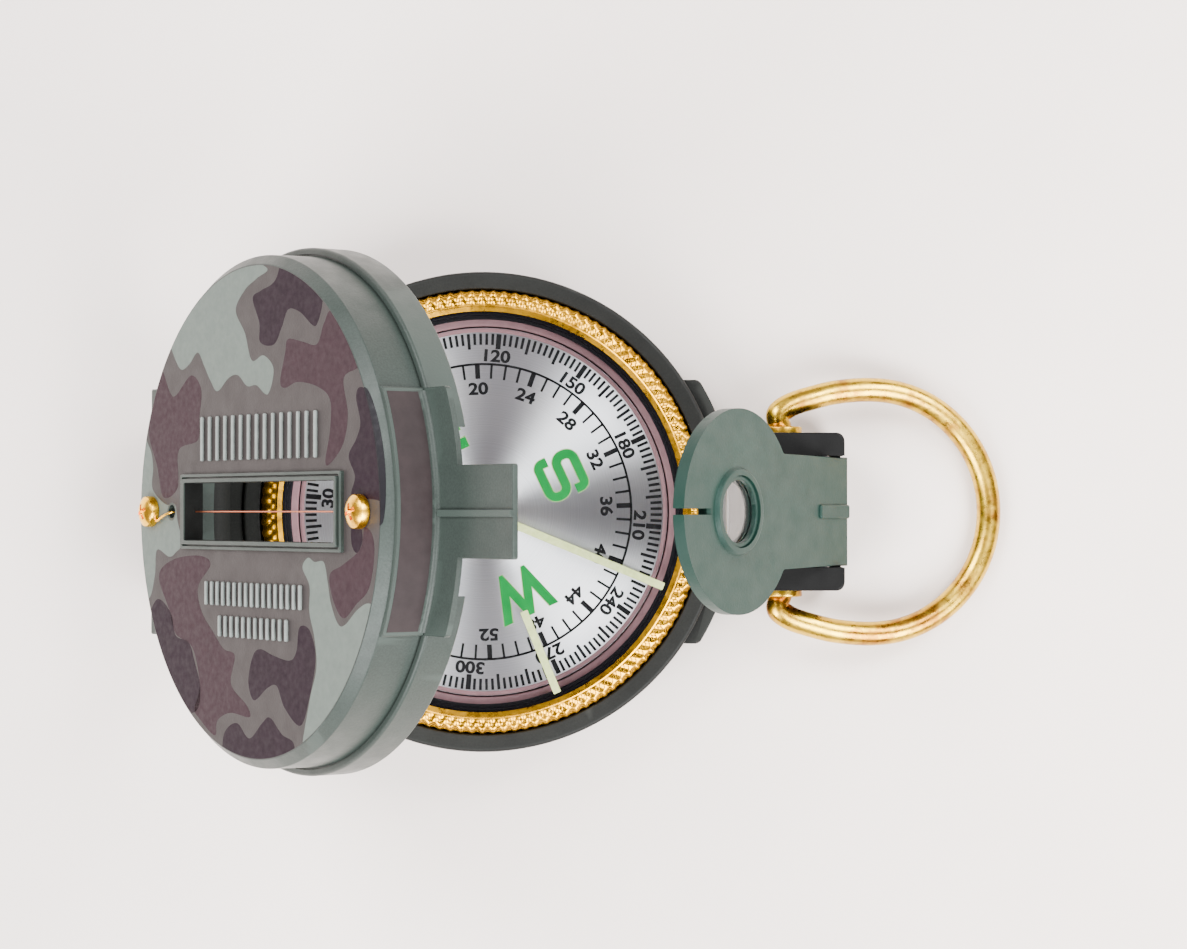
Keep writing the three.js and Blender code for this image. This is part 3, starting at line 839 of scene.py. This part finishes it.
def dial_letters():
    """Four green letters, each on a pale luminous patch a little wider than itself."""
    for name, finish, swell, layer in (("letter_halos", "halo", 0.1, 1), ("letters", "green", 0.0, 2)):
        parts = []
        for text, bearing in LETTERS.items():
            place = radial(bearing, 9.9 if text == "S" else 10.3, CARD_TOP + 0.002 * layer)
            parts.append((big_letter(text, swell, PRINT_T * layer), place))
        deliver(gathered(name, parts), "dial", finish)


def dial():
    """The silver card, with a pink border outside its scale."""
    hole = 1.35
    edge = CARD_R + 0.12
    card = turned("card", rounded(rectangle(hole, CARD_LOW, edge, CARD_TOP), 0.08, 3))
    deliver(card, "dial", "dial", replaces=["dial_card"])
    section = rectangle(CARD_R - 0.4, CARD_TOP - 0.02, edge - 0.06, CARD_TOP + PRINT_T)
    border = turned("card_border", rounded(section, 0.008, 2))
    deliver(border, "dial", "pink")
    dial_scales()
    dial_letters()


# ---- bezel
def wave(distance, half_width):
    """A smooth hump, 1 in the middle and 0 at half_width away."""
    return cos(pi / 2 * distance / half_width) ** 2 if abs(distance) < half_width else 0.0


def knurled(name, plain, worked, pit_r, ridge_r, depth):
    """A turned ring. The worked points of its section are pressed into pits, with bosses between them."""
    bm = bmesh.new()
    rings = []
    around = KNURL_COUNT * 8
    for i, (radius, z) in enumerate(plain + worked):
        pressed = i >= len(plain)
        ring = []
        for k in range(around):
            angle = 2 * pi * k / around
            beat = cos(KNURL_COUNT * angle)
            lift = 0.0
            if pressed:
                lift = depth * (beat * (wave(radius - ridge_r, 0.5) - wave(radius - pit_r, 0.5)) - 0.35)
            reach = radius + (0.08 * beat if pressed and radius > ridge_r else 0.0)
            ring.append(bm.verts.new(polar(reach, angle, z + lift)))
        rings.append(ring)
    skin(bm, rings + rings[:1])
    return from_bmesh(name, bm)


def bezel():
    """Gold ring: a smooth chamfer inside, and a knurled band of pits and scallops outside."""
    lip_low = CRYSTAL_TOP + 0.3
    outer = BEZEL_R + 0.05
    seat_r = CRYSTAL_R + 0.1
    band_in, pit_r, fall_r, ridge_r = 23.55, 24.1, 24.5, 24.98
    plain = [
        (outer - 0.1, 10.4), (outer - 0.2, BEZEL_LOW), (seat_r, BEZEL_LOW), (seat_r, lip_low),
        (BEZEL_LIP_R, lip_low), (BEZEL_LIP_R, lip_low + 0.1), (23.3, BEZEL_TOP - 0.12),
        (23.42, BEZEL_TOP - 0.06)]
    worked = []
    for i in range(19):
        radius = band_in + (outer - 0.08 - band_in) * i / 18
        fall = max(0.0, radius - fall_r) / (outer - fall_r)
        worked.append((radius, BEZEL_TOP - 0.1 - 0.75 * fall ** 2))
    ring = knurled("bezel", plain, worked, pit_r, ridge_r, 0.14)
    deliver(ring, "bezel", "bezel", replaces=["bezel_ring"], sharp=50)


def crystal_and_gasket():
    section = rectangle(0, CRYSTAL_LOW, CRYSTAL_R, CRYSTAL_TOP)
    crystal = turned("crystal", rounded(section, [0, 0.2, 0.2, 0], 4))
    deliver(crystal, "bezel", "crystal", replaces=["bezel_crystal"])
    under, top = CRYSTAL_LOW - 0.02, GASKET_TOP - 0.3
    gasket = turned("gasket", rounded([
        (GASKET_R, GASKET_LOW), (CRYSTAL_R, GASKET_LOW), (CRYSTAL_R, under), (GASKET_R + 0.55, under),
        (GASKET_R + 0.4, top), (GASKET_R, top),
    ], [0.1, 0.1, 0.05, 0.08, 0.05, 0.12], 4))
    deliver(gasket, "bezel", "rubber", replaces=["crystal_gasket"])


def index_lines():
    """Two luminous lines painted on the crystal."""
    for node, angle, start in (("index_line_long", -22.5, 0.8), ("index_line_short", -67.5, 12.3)):
        strip = block(
            node + "_paint", start, -0.45, CRYSTAL_TOP - 0.01,
            GASKET_R + 0.3, 0.45, CRYSTAL_TOP + 0.09, 0.04, 0.12)
        deliver(strip, "bezel", "glow", spin(angle, "Z"), [node])


# ---- cover
def cover_moulding():
    """The domed lid with its step, window, stepped tail, tongue and hinge lugs, as one moulding."""
    wall = COVER_WALL_R
    groove = 0.22
    shell = turned("cover", rounded([
        (0, COVER_BOTTOM), (BODY_R, COVER_BOTTOM), (BODY_R, COVER_STEP_Z), (wall + groove, COVER_STEP_Z),
        (wall + groove, COVER_STEP_Z - groove), (wall, COVER_STEP_Z - groove),
        (wall - 0.12, COVER_TOP - CHAMFER), (FACE_R, COVER_TOP), (0, COVER_TOP),
    ], [0, 0.25, 0.4, 0, 0, 0.05, 0.22, 0.18, 0]))

    half_tail = TAIL_HALF_W
    under_tail = COVER_STEP_Z - TAIL_T
    upper = sector("upper", 18, half_tail, 27.0, 14, COVER_TOP - CHAMFER, 0.25, 0.3)
    tail = sector("tail", 18, half_tail, TAIL_R, under_tail, COVER_STEP_Z, 0.14)
    tongue = block(
        "tongue", 24, -TONGUE_HALF_W, under_tail, TONGUE_END, TONGUE_HALF_W, COVER_STEP_Z + 0.01, 0.14, 0.25)
    rib = block("rib", 27.2, -0.5, under_tail + 0.1, TONGUE_END - 0.02, 0.2, COVER_STEP_Z + 0.35, 0.16, 0.1)
    root = turned("root", [(26.8, 14.8)] + arc((27.5, 15.5), 0.5, 180, 270, 6) + [(27.5, 14.8)])
    keep_inside(root, block("root_span", 10, 0.3 - half_tail, 10, 40, half_tail - 0.3, 20))

    bar = side_prism("bar", rounded([
        (-34.4, 12.9), (-34.4, 15.2), (-18, 15.2), (-18, 12.9)], [0.3, 0.8, 0, 0], 5),
        -HINGE_HALF_W, HINGE_HALF_W, 0.2)
    join(shell, upper, tail, tongue, rib, root, bar, window_frame(), *hinge_lugs())

    inside = turned("inside", rounded([
        (0, 5), (26, 5), (26, 13.6), (LID_INNER_R, 14.4), (LID_INNER_R, CEILING), (0, CEILING),
    ], [0, 0, 0.3, 0.3, 1.0, 0]))
    opening = rounded(rectangle(WINDOW_X0, -WINDOW_HALF_W, WINDOW_X1, WINDOW_HALF_W), 0.15, 3)
    cut(
        shell,
        inside,
        prism("opening", opening, 10, 30),
        block("stem_notch", 20, -STEM_NOTCH_HALF_W, 5, 35, STEM_NOTCH_HALF_W, under_tail - 0.01),
        rod("disc_pocket", DISC_R + 0.3, 5, under_tail - 0.02, BRACKET_PIN.x + DISC_X, 0),
        cross_rod("hinge_bore", 1.1, HINGE, -20, 20),
        rod("wire_hole", 0.75, WIRE_Z - 0.4, 30, WIRE_HOLE_X, 0),
        rod("wall_hole", 0.4, -20.2, -13, steps=24),
    )
    on_cover(shell, "cover", ["cover_shell"])


def cover_lining():
    """Painted shade: a thin black sheet on the walls of the window's opening and round the inside of the
    lid, where the moulding is only in shadow.
    """
    coat = 0.04
    top = COVER_TOP + WINDOW_RAISE - 0.15
    corners = (WINDOW_X0, -WINDOW_HALF_W, WINDOW_X1, WINDOW_HALF_W)
    outer = rectangle(*(value + 0.01 * sign for value, sign in zip(corners, (-1, -1, 1, 1))))
    inner = rectangle(*(value + coat * sign for value, sign in zip(corners, (1, 1, -1, -1))))
    walls = prism("window_painted_shade", outer, CEILING, top)
    cut(walls, prism("window_space", inner, CEILING - 1, top + 1))
    centre = (LID_INNER_R - 1, CEILING - 1)
    section = [(LID_INNER_R - coat, 14.7), (LID_INNER_R + 0.01, 14.7)]
    section += arc(centre, 1.01, 0, 90, 8) + arc(centre, 1 - coat, 90, 0, 8)
    parts = [(walls, STILL), (turned("bowl_painted_shade", section), STILL)]
    on_cover(gathered("cover_lining", parts), "shade")


def window_frame():
    """A raised border: a low ridge outside, a groove, and a higher ridge round the opening."""
    def border(name, reach, z0, z1, bevel):
        return block(
            name, WINDOW_X0 - WINDOW_FRAME * 1.5 * reach, -WINDOW_HALF_W - WINDOW_FRAME * reach, z0,
            WINDOW_X1 + WINDOW_FRAME * reach, WINDOW_HALF_W + WINDOW_FRAME * reach, z1, bevel, 0.22)

    frame_base = border("frame_base", 1.0, COVER_TOP - 1, COVER_TOP + 0.45, 0.12)
    cut(frame_base, border("frame_groove", 0.66, COVER_TOP + 0.12, COVER_TOP + 2, 0.05))
    return join(frame_base, border("frame_ridge", 0.44, COVER_TOP - 1, COVER_TOP + WINDOW_RAISE, 0.1))


def hinge_lugs():
    lugs = []
    for side in (1, -1):
        ends = sorted((side * (KNUCKLE_HALF_W + 0.3), side * HINGE_HALF_W))
        lug = block(
            "hinge_lug", HINGE.x - HINGE_R, ends[0], HINGE.z, HINGE.x + HINGE_R - 0.2, ends[1], 13.5, 0.15)
        barrel = cross_rod("hinge_barrel", HINGE_R, HINGE, *ends, 0.3)
        lugs.append(join(lug, barrel))
    return lugs


def face_rod(name, radius, x, steps=SMALL):
    """A rod that passes through the cover's face."""
    return rod(name, radius, COVER_TOP - 1, COVER_TOP + 1, x, steps=steps)


def face_print(name, outlines, finish):
    """Patches of paint on the cover's face, kept inside its edge and clear of the wire's hole."""
    parts = []
    for outline in outlines:
        patch = prism("patch", [tuple(p) for p in spline(outline)], COVER_TOP - 0.01, COVER_TOP + PRINT_T)
        keep_inside(patch, face_rod("face", FACE_R - 0.12, 0, FINE))
        cut(patch, face_rod("clear_hole", 1.0, WIRE_HOLE_X))
        parts.append((patch, STILL))
    on_cover(gathered(name, parts), finish)


PALE_PATCHES = [
    [(3, 25), (1, 24), (-1.5, 23), (-3.5, 21), (-1.5, 18.5), (0, 15.6), (2.5, 16), (4.6, 14.5), (3.4, 12),
     (1, 13), (-1, 13), (-3, 14.2), (-5, 14), (-7.5, 12.7), (-9, 13.8), (-10.5, 15.5), (-12, 17),
     (-14, 15.8), (-16, 15.4), (-18, 17.5), (-19, 19), (-14, 23), (-6, 27)],
    [(-27, 9), (-23.5, 7.2), (-22.5, 5), (-22.6, 2.5), (-19.5, 0.8), (-17.3, 0.8), (-16.6, -1),
     (-15.6, -3.4), (-17, -4.4), (-18.6, -4.9), (-21.5, -4.2), (-22, -7), (-23.5, -9.6), (-27, -9)],
    [(10.6, -5.6), (11.7, -4.6), (13, -5), (14.8, -5), (15.6, -7), (16.2, -9), (17.6, -11), (19, -11),
     (21.5, -9.4), (24, -8.9), (28, -11), (22, -19), (14, -27), (10.5, -25), (12, -19), (13.4, -15.5),
     (13, -12.5), (12, -10), (12, -7.4)],
]
MAUVE_PATCHES = [
    [(-20.8, 15.6), (-18.5, 13), (-17, 12.6), (-13.5, 14.6), (-11.2, 13), (-11.6, 10), (-12, 7.6),
     (-16.4, 6.6), (-16.6, 2.6), (-20, 1.6), (-21.5, 5), (-23.5, 8.5), (-23.2, 12)],
    [(16.5, 19.6), (21, 15.5), (21.4, 14), (18.6, 13), (19.4, 9.5), (18.5, 6.6), (16, 4.7), (15.1, 5),
     (16, 8), (16, 11), (13.5, 12.4), (9.6, 13), (7, 12.5), (6, 13.2), (7, 16), (7.6, 17.4), (10.5, 17),
     (13.4, 16.6), (14.8, 18.6)],
    [(-21, -7), (-17.6, -5.2), (-11.5, -4.7), (-9, -5.6), (-11.8, -8), (-11, -10.6), (-8, -13), (-6, -14.4),
     (-3.6, -15), (-4.4, -18), (-1, -20), (-0.4, -21.2), (-4.5, -21), (-7.4, -22), (-8, -23.6),
     (-11.5, -22), (-12.6, -21), (-11.4, -18.6), (-13, -14.6), (-17, -13.2), (-18.6, -10.6)],
    [(16, -6.2), (18.5, -5.2), (21.8, -3.6), (22.6, -1.6), (24, -2.2), (24.4, -4.2), (23.4, -7.4), (21, -9),
     (18.6, -10.4), (16.6, -8.6)],
]
DARK_PATCHES = [
    [(7.5, 27), (12, 24.5), (14.2, 22), (14.4, 20.4), (13.4, 18.6), (12.4, 18.6), (10, 20), (7.6, 20.4),
     (6.2, 18.6), (4.6, 17), (1.8, 17.4), (1.6, 19.4), (0.2, 22), (2, 22.7), (5, 23.6)],
    [(21.6, 12), (23.4, 11.4), (28, 8), (28, 1.4), (24, 1.2), (20.2, 1.5), (20.8, 3.4), (19.6, 5.4),
     (21, 7), (21.8, 8.6), (21, 11)],
    [(20.2, -1.4), (21.8, -1.4), (22.2, -2.8), (21.2, -4), (20.2, -3.2)],
    [(-21.4, -9.6), (-18.2, -11), (-17, -13.4), (-14, -14), (-12.6, -16), (-11.2, -19), (-12.5, -21.4),
     (-18, -21), (-26, -17), (-24, -12.5)],
    [(2, -14.1), (4.5, -14.6), (8, -15), (9.4, -14), (10, -11.6), (12, -11.8), (13.2, -14.5), (12, -18.5),
     (10.2, -21.4), (7, -19.8), (5.4, -17.7), (3.4, -18), (0.6, -19.4), (-0.6, -17.5), (0.4, -14.8)],
    [(-3, -22), (-0.4, -23.4), (2.4, -21.6), (4, -21), (6.4, -22.5), (9, -23.6), (7, -28), (-6, -28),
     (-6.2, -24.4), (-5.4, -22.8)],
]


def camouflage():
    """Ground colour over the whole face, and patches in three tones."""
    lift = 0.012
    reach = WINDOW_FRAME - 0.1
    ground = turned("camo_ground_coat", [
        (0, COVER_TOP - 0.05), (FACE_R - 0.1, COVER_TOP - 0.05), (FACE_R - 0.08, COVER_TOP + lift),
        (0, COVER_TOP + lift)])
    cut(
        ground,
        face_rod("clear_hole", 1.0, WIRE_HOLE_X),
        block(
            "clear_window", WINDOW_X0 - WINDOW_FRAME * 0.5 - reach, -WINDOW_HALF_W - reach, COVER_TOP - 1,
            WINDOW_X1 + reach, WINDOW_HALF_W + reach, COVER_TOP + 1),
    )
    on_cover(ground, "ground")
    face_print("camo_pale_patches", PALE_PATCHES, "pale")
    face_print("camo_mauve_patches", MAUVE_PATCHES, "mauve")
    face_print("camo_dark_patches", DARK_PATCHES, "dark")
    dark_edge()
    block_coat()


def dark_edge():
    """A crescent on the chamfer beside the rear screw: dark camouflage paint wrapped over the edge, made
    near-black as painted shade where the glossy chamfer reflects the dark room.
    """
    bm = bmesh.new()
    steps = 48
    start, end = -3, 28
    coat, bite = 0.03, 0.1
    edge = Vector((FACE_R, COVER_TOP))
    down = (Vector((COVER_WALL_R - 0.12, COVER_TOP - CHAMFER)) - edge).normalized()
    outward = Vector((-down.y, down.x))
    rings = []
    for i in range(steps + 1):
        angle = radians(start + (end - start) * i / steps)
        width = 0.05 + 0.62 * sin(pi * i / steps) ** 0.4
        below = edge + down * width
        ring = [
            edge + Vector((-bite, coat)), edge + outward * coat, below + outward * coat,
            below - outward * bite, edge - Vector((bite, bite))]
        rings.append([bm.verts.new(polar(p.x, angle, p.y)) for p in ring])
    skin(bm, rings)
    bm.faces.new(rings[0])
    bm.faces.new(rings[-1])
    # near-black finish: real dark paint plus a painted dark reflection
    on_cover(from_bmesh("camo_edge_paint_and_shade", bm), "rubber")


def block_coat():
    """A thin mauve-grey sheet over the end wall of the stepped block: a painted reflection of the pinkish
    room that this wall shows.
    """
    outer, thickness = 27.0, 0.03
    half = degrees(asin((TAIL_HALF_W - 0.45) / outer))
    outline = arc((0, 0), outer + thickness, -half, half, 40) + arc((0, 0), outer - 0.1, half, -half, 40)
    coat = prism("painted_reflection_sheet", outline, COVER_STEP_Z + 0.7, COVER_TOP - CHAMFER - 0.35)
    on_cover(coat, "block")


def raised_bars():
    """Rows of plain upright bars moulded on the face, on both sides of the window."""
    parts = []
    rows = [(-10.6, 13.4, 7.7, 4.7, 15), (-9.6, 10.4, -8.6, 2.5, 17), (-6.6, 7.6, -12.0, 2.2, 12)]
    for x0, x1, y, height, count in rows:
        for i in range(count):
            x = x0 + (x1 - x0) * i / (count - 1)
            bar = block("bar", -0.2, -height / 2, 0, 0.2, height / 2, 0.36, 0.12, 0.15)
            parts.append((bar, shift(x, y, COVER_TOP)))
    on_cover(gathered("face_bars", parts), "bars")


def wire_screws():
    """Pan heads with a cross recess."""
    base, crown = COVER_TOP + PRINT_T, COVER_TOP + 1.45
    dome_r = 2.6
    rim = [(SCREW_HEAD_R - 0.1, base), (SCREW_HEAD_R, base + 0.12), (SCREW_HEAD_R, base + 0.5)]
    dome = [p for p in arc((0, crown - dome_r), dome_r, 52, 90, 10) if p[0] > ON_AXIS]
    section = [(0, base)] + rim + dome + [(0, crown)]
    recess = [(-1.0, crown + 1), (-0.85, crown - 0.35), (-0.2, crown - 0.75)]
    recess += [(-x, z) for x, z in recess[::-1]]
    for node, x in (("wire_screw_front", FRONT_SCREW_X), ("wire_screw_rear", REAR_SCREW_X)):
        head = turned(node + "_head", section, SMALL)
        for turn in (20, 110):
            groove = side_prism("recess", recess, -0.2, 0.2)
            groove.data.transform(spin(turn, "Z"))
            cut(head, groove)
        deliver(head, "cover", "screw", COVER_PLACE @ shift(x), [node])


def sighting_wire():
    """Tight across the window, with a brass end that rises through the face to the front screw."""
    path = [(x, 0, WIRE_Z) for x in (-18.2, -16.5, -14, -8, 0, 8, 14, 18.2)]
    on_cover(tube("wire", path, WIRE_R, 12), "wire", ["sight_wire"], 60)
    over = COVER_TOP + 0.2
    front = spline([
        (FRONT_SCREW_X + 0.4, -0.9, over), (FRONT_SCREW_X + 1.7, -1.0, over + 0.1), (-20, -0.7, over + 0.14),
        (-18.9, -0.3, over + 0.05), (-18.15, -0.1, COVER_TOP - 0.1), (-17.9, 0, WIRE_Z)], closed=False)
    widths = [0.17 - 0.08 * i / (len(front) - 1) for i in range(len(front))]
    on_cover(tube("wire_front_end", front, widths, 12), "screw", sharp=60)


# ---- lens bracket
def lens_bracket():
    """Round plate with a sighting slot and a raised lens seat, on a straight stem."""
    meet = degrees(asin(STEM_HALF_W / DISC_R))
    bow = arc((DISC_X, 0), DISC_R, meet, 360 - meet, 160)
    outline = bow + [(STEM_TAIL, -STEM_HALF_W), (STEM_TAIL, STEM_HALF_W)]
    plate = prism("bracket", outline, PLATE_LOW, PLATE_TOP, 0.16)
    seat = turned("seat", rounded([
        (0, PLATE_LOW + 0.3), (BOSS_R - 0.2, PLATE_LOW + 0.3), (BOSS_R, PLATE_TOP), (BOSS_R - 0.3, BOSS_TOP),
        (0, BOSS_TOP),
    ], [0, 0, 0, 0.18, 0]), SMALL * 2)
    seat.data.transform(shift(LENS_X))
    barrel = cross_rod("barrel", PLATE_TOP, Vector(), -STEM_HALF_W + 0.01, STEM_HALF_W - 0.01, 0.15)
    rib = block("rib", -3.6, -0.8, PLATE_LOW, STEM_TAIL + 0.05, 0.8, PLATE_TOP + 0.3, 0.22, 0.3)
    join(plate, seat, barrel, rib)
    tip = DISC_X - DISC_R
    slot_end = tip + SLOT_DEPTH
    bore = turned("bore", [
        (0, PLATE_LOW - 1), (LENS_R - 0.4, PLATE_LOW - 1), (LENS_R - 0.4, LENS_SEAT),
        (LENS_R, LENS_SEAT), (LENS_R, 5), (0, 5)], SMALL * 2)
    bore.data.transform(shift(LENS_X))
    start, end = slot_end - 0.1, slot_end + 0.7
    cut(
        plate,
        bore,
        block("slot", tip - 1, -SLOT_HALF_W, -3, slot_end, SLOT_HALF_W, 4),
        side_prism("notch", [
            (start, PLATE_TOP - 0.4), (end, PLATE_TOP + 0.01), (end, 4), (start, 4)],
            -SLOT_HALF_W, SLOT_HALF_W),
        cross_rod("pin_bore", 0.9, Vector(), -10, 10),
    )
    deliver(plate, "bracket", "bracket", BRACKET_PLACE, ["lens_bracket"])


def magnifier():
    """Plano-convex glass under a thin retaining ring."""
    seat = LENS_SEAT + 0.02
    edge = seat + 0.4
    sag = 0.5
    radius = LENS_R - 0.05
    sphere = (radius ** 2 + sag ** 2) / (2 * sag)
    half = degrees(asin(radius / sphere))
    dome = [p for p in arc((0, edge + sag - sphere), sphere, 90 - half, 90, 16) if p[0] > ON_AXIS]
    glass = turned("lens", [(0, seat), (radius, seat)] + dome + [(0, edge + sag)], SMALL)
    place = BRACKET_PLACE @ shift(LENS_X)
    deliver(glass, "bracket", "lens", place, ["magnifier_lens"], sharp=50)
    section = rectangle(LENS_R - 0.5, edge + 0.22, LENS_R - 0.02, BOSS_TOP - 0.25)
    ring = turned("retaining_ring", rounded(section, 0.1, 4), SMALL)
    deliver(ring, "bracket", "bracket", place, ["lens_retaining_ring"])


# ---- thumb loop
def thumb_loop():
    """A brass wire bow whose ends turn in to the lug."""
    side = [
        (0, 7.7, LOOP_PIN_R), (0, 9.7, LOOP_PIN_R), (-0.45, 10.6, LOOP_WIRE_R * 0.96),
        (-0.35, 11.5, LOOP_WIRE_R), (1.1, 12.45, LOOP_WIRE_R), (3.4, 13.2, LOOP_WIRE_R),
        (6.6, 13.95, LOOP_WIRE_R), (LOOP_CENTRE, LOOP_R, LOOP_WIRE_R)]
    bow = [(x, y, LOOP_WIRE_R) for x, y in arc((LOOP_CENTRE, 0), LOOP_R, 75, 0, 5)]
    half = side + bow
    mirrored = [(x, -y, r) for x, y, r in half[-2::-1]]
    samples = spline(half + mirrored, 14, closed=False)
    wire = tube("loop", [(s.x, s.y, 0) for s in samples], [s.z for s in samples], 48)
    deliver(wire, "loop", "loop", LOOP_PLACE, ["thumb_loop"], sharp=60)


# ---- parts kept as they were packed
def keep_packed_nodes():
    """Pins, springs, magnets and post in steel, and the jewel cup in gold."""
    steel = (
        "cover_hinge_pin", "bracket_hinge_pin", "pivot_post", "bracket_spring", "bezel_spring",
        "dial_magnet_left", "dial_magnet_right")
    for node in steel + ("jewel_cup",):
        materials = frame["nodes"][node].data.materials
        materials.clear()
        materials.append(FINISHES["steel" if node in steel else "screw"])


# ---- camera, table and light, in metres
LIGHT_REACH = 0.5
TABLE_HALF = 2.5


def camera():
    """A long lens above the compass, aimed a little off the vertical."""
    place = Vector((13.53, -0.03, 316.0))
    lean_x, lean_y = -0.16, 0.803
    data = bpy.data.cameras.new("camera")
    data.sensor_width = 36
    data.lens = 80.86
    data.clip_start = 0.01
    obj = new_object("camera", data)
    look = Vector((tan(radians(lean_x)), tan(radians(lean_y)), -1)).normalized()
    right = look.cross(Vector((0, 1, 0))).normalized()
    up = right.cross(look)
    turn = Matrix((right, up, -look)).transposed().to_4x4()
    obj.matrix_world = Matrix.Translation(place * MM) @ turn
    bpy.context.scene.camera = obj


def softbox(name, angle, width, power):
    """A soft light as far out as it is up, at an angle in degrees from X, aimed at the compass."""
    data = bpy.data.lights.new(name, "AREA")
    data.shape = "RECTANGLE"
    data.size = width
    data.size_y = 0.45
    data.energy = power
    place = polar(LIGHT_REACH, radians(angle), LIGHT_REACH)
    obj = new_object(name, data)
    obj.location = place
    obj.rotation_euler = (-place).to_track_quat("-Z", "Y").to_euler()


def studio():
    """Soft lights on the four diagonals, the pair on the -Y side stronger, over pale paper in a dim room."""
    bm = bmesh.new()
    outline = rectangle(-TABLE_HALF, -TABLE_HALF, TABLE_HALF, TABLE_HALF)
    bm.faces.new([bm.verts.new((x, y, 0)) for x, y in outline])
    table = from_bmesh("table", bm)
    table.data.materials.append(FINISHES["paper"])
    softbox("softbox_front_right", -46, 0.36, 14.5)
    softbox("softbox_back_right", -134, 0.36, 12)
    softbox("softbox_front_left", 43, 0.26, 9)
    softbox("softbox_back_left", 134, 0.26, 8)
    world = bpy.data.worlds.new("room")
    bpy.context.scene.world = world
    world.use_nodes = True
    sky = world.node_tree.nodes["Background"]
    sky.inputs["Color"].default_value = (1.0, 0.80, 0.90, 1)
    sky.inputs["Strength"].default_value = 0.3


def main():
    make_finishes()
    camera()
    studio()
    housing()
    damping_cup()
    bushings()
    dial()
    bezel()
    crystal_and_gasket()
    index_lines()
    cover_moulding()
    cover_lining()
    camouflage()
    raised_bars()
    wire_screws()
    sighting_wire()
    lens_bracket()
    magnifier()
    thumb_loop()
    keep_packed_nodes()


main()
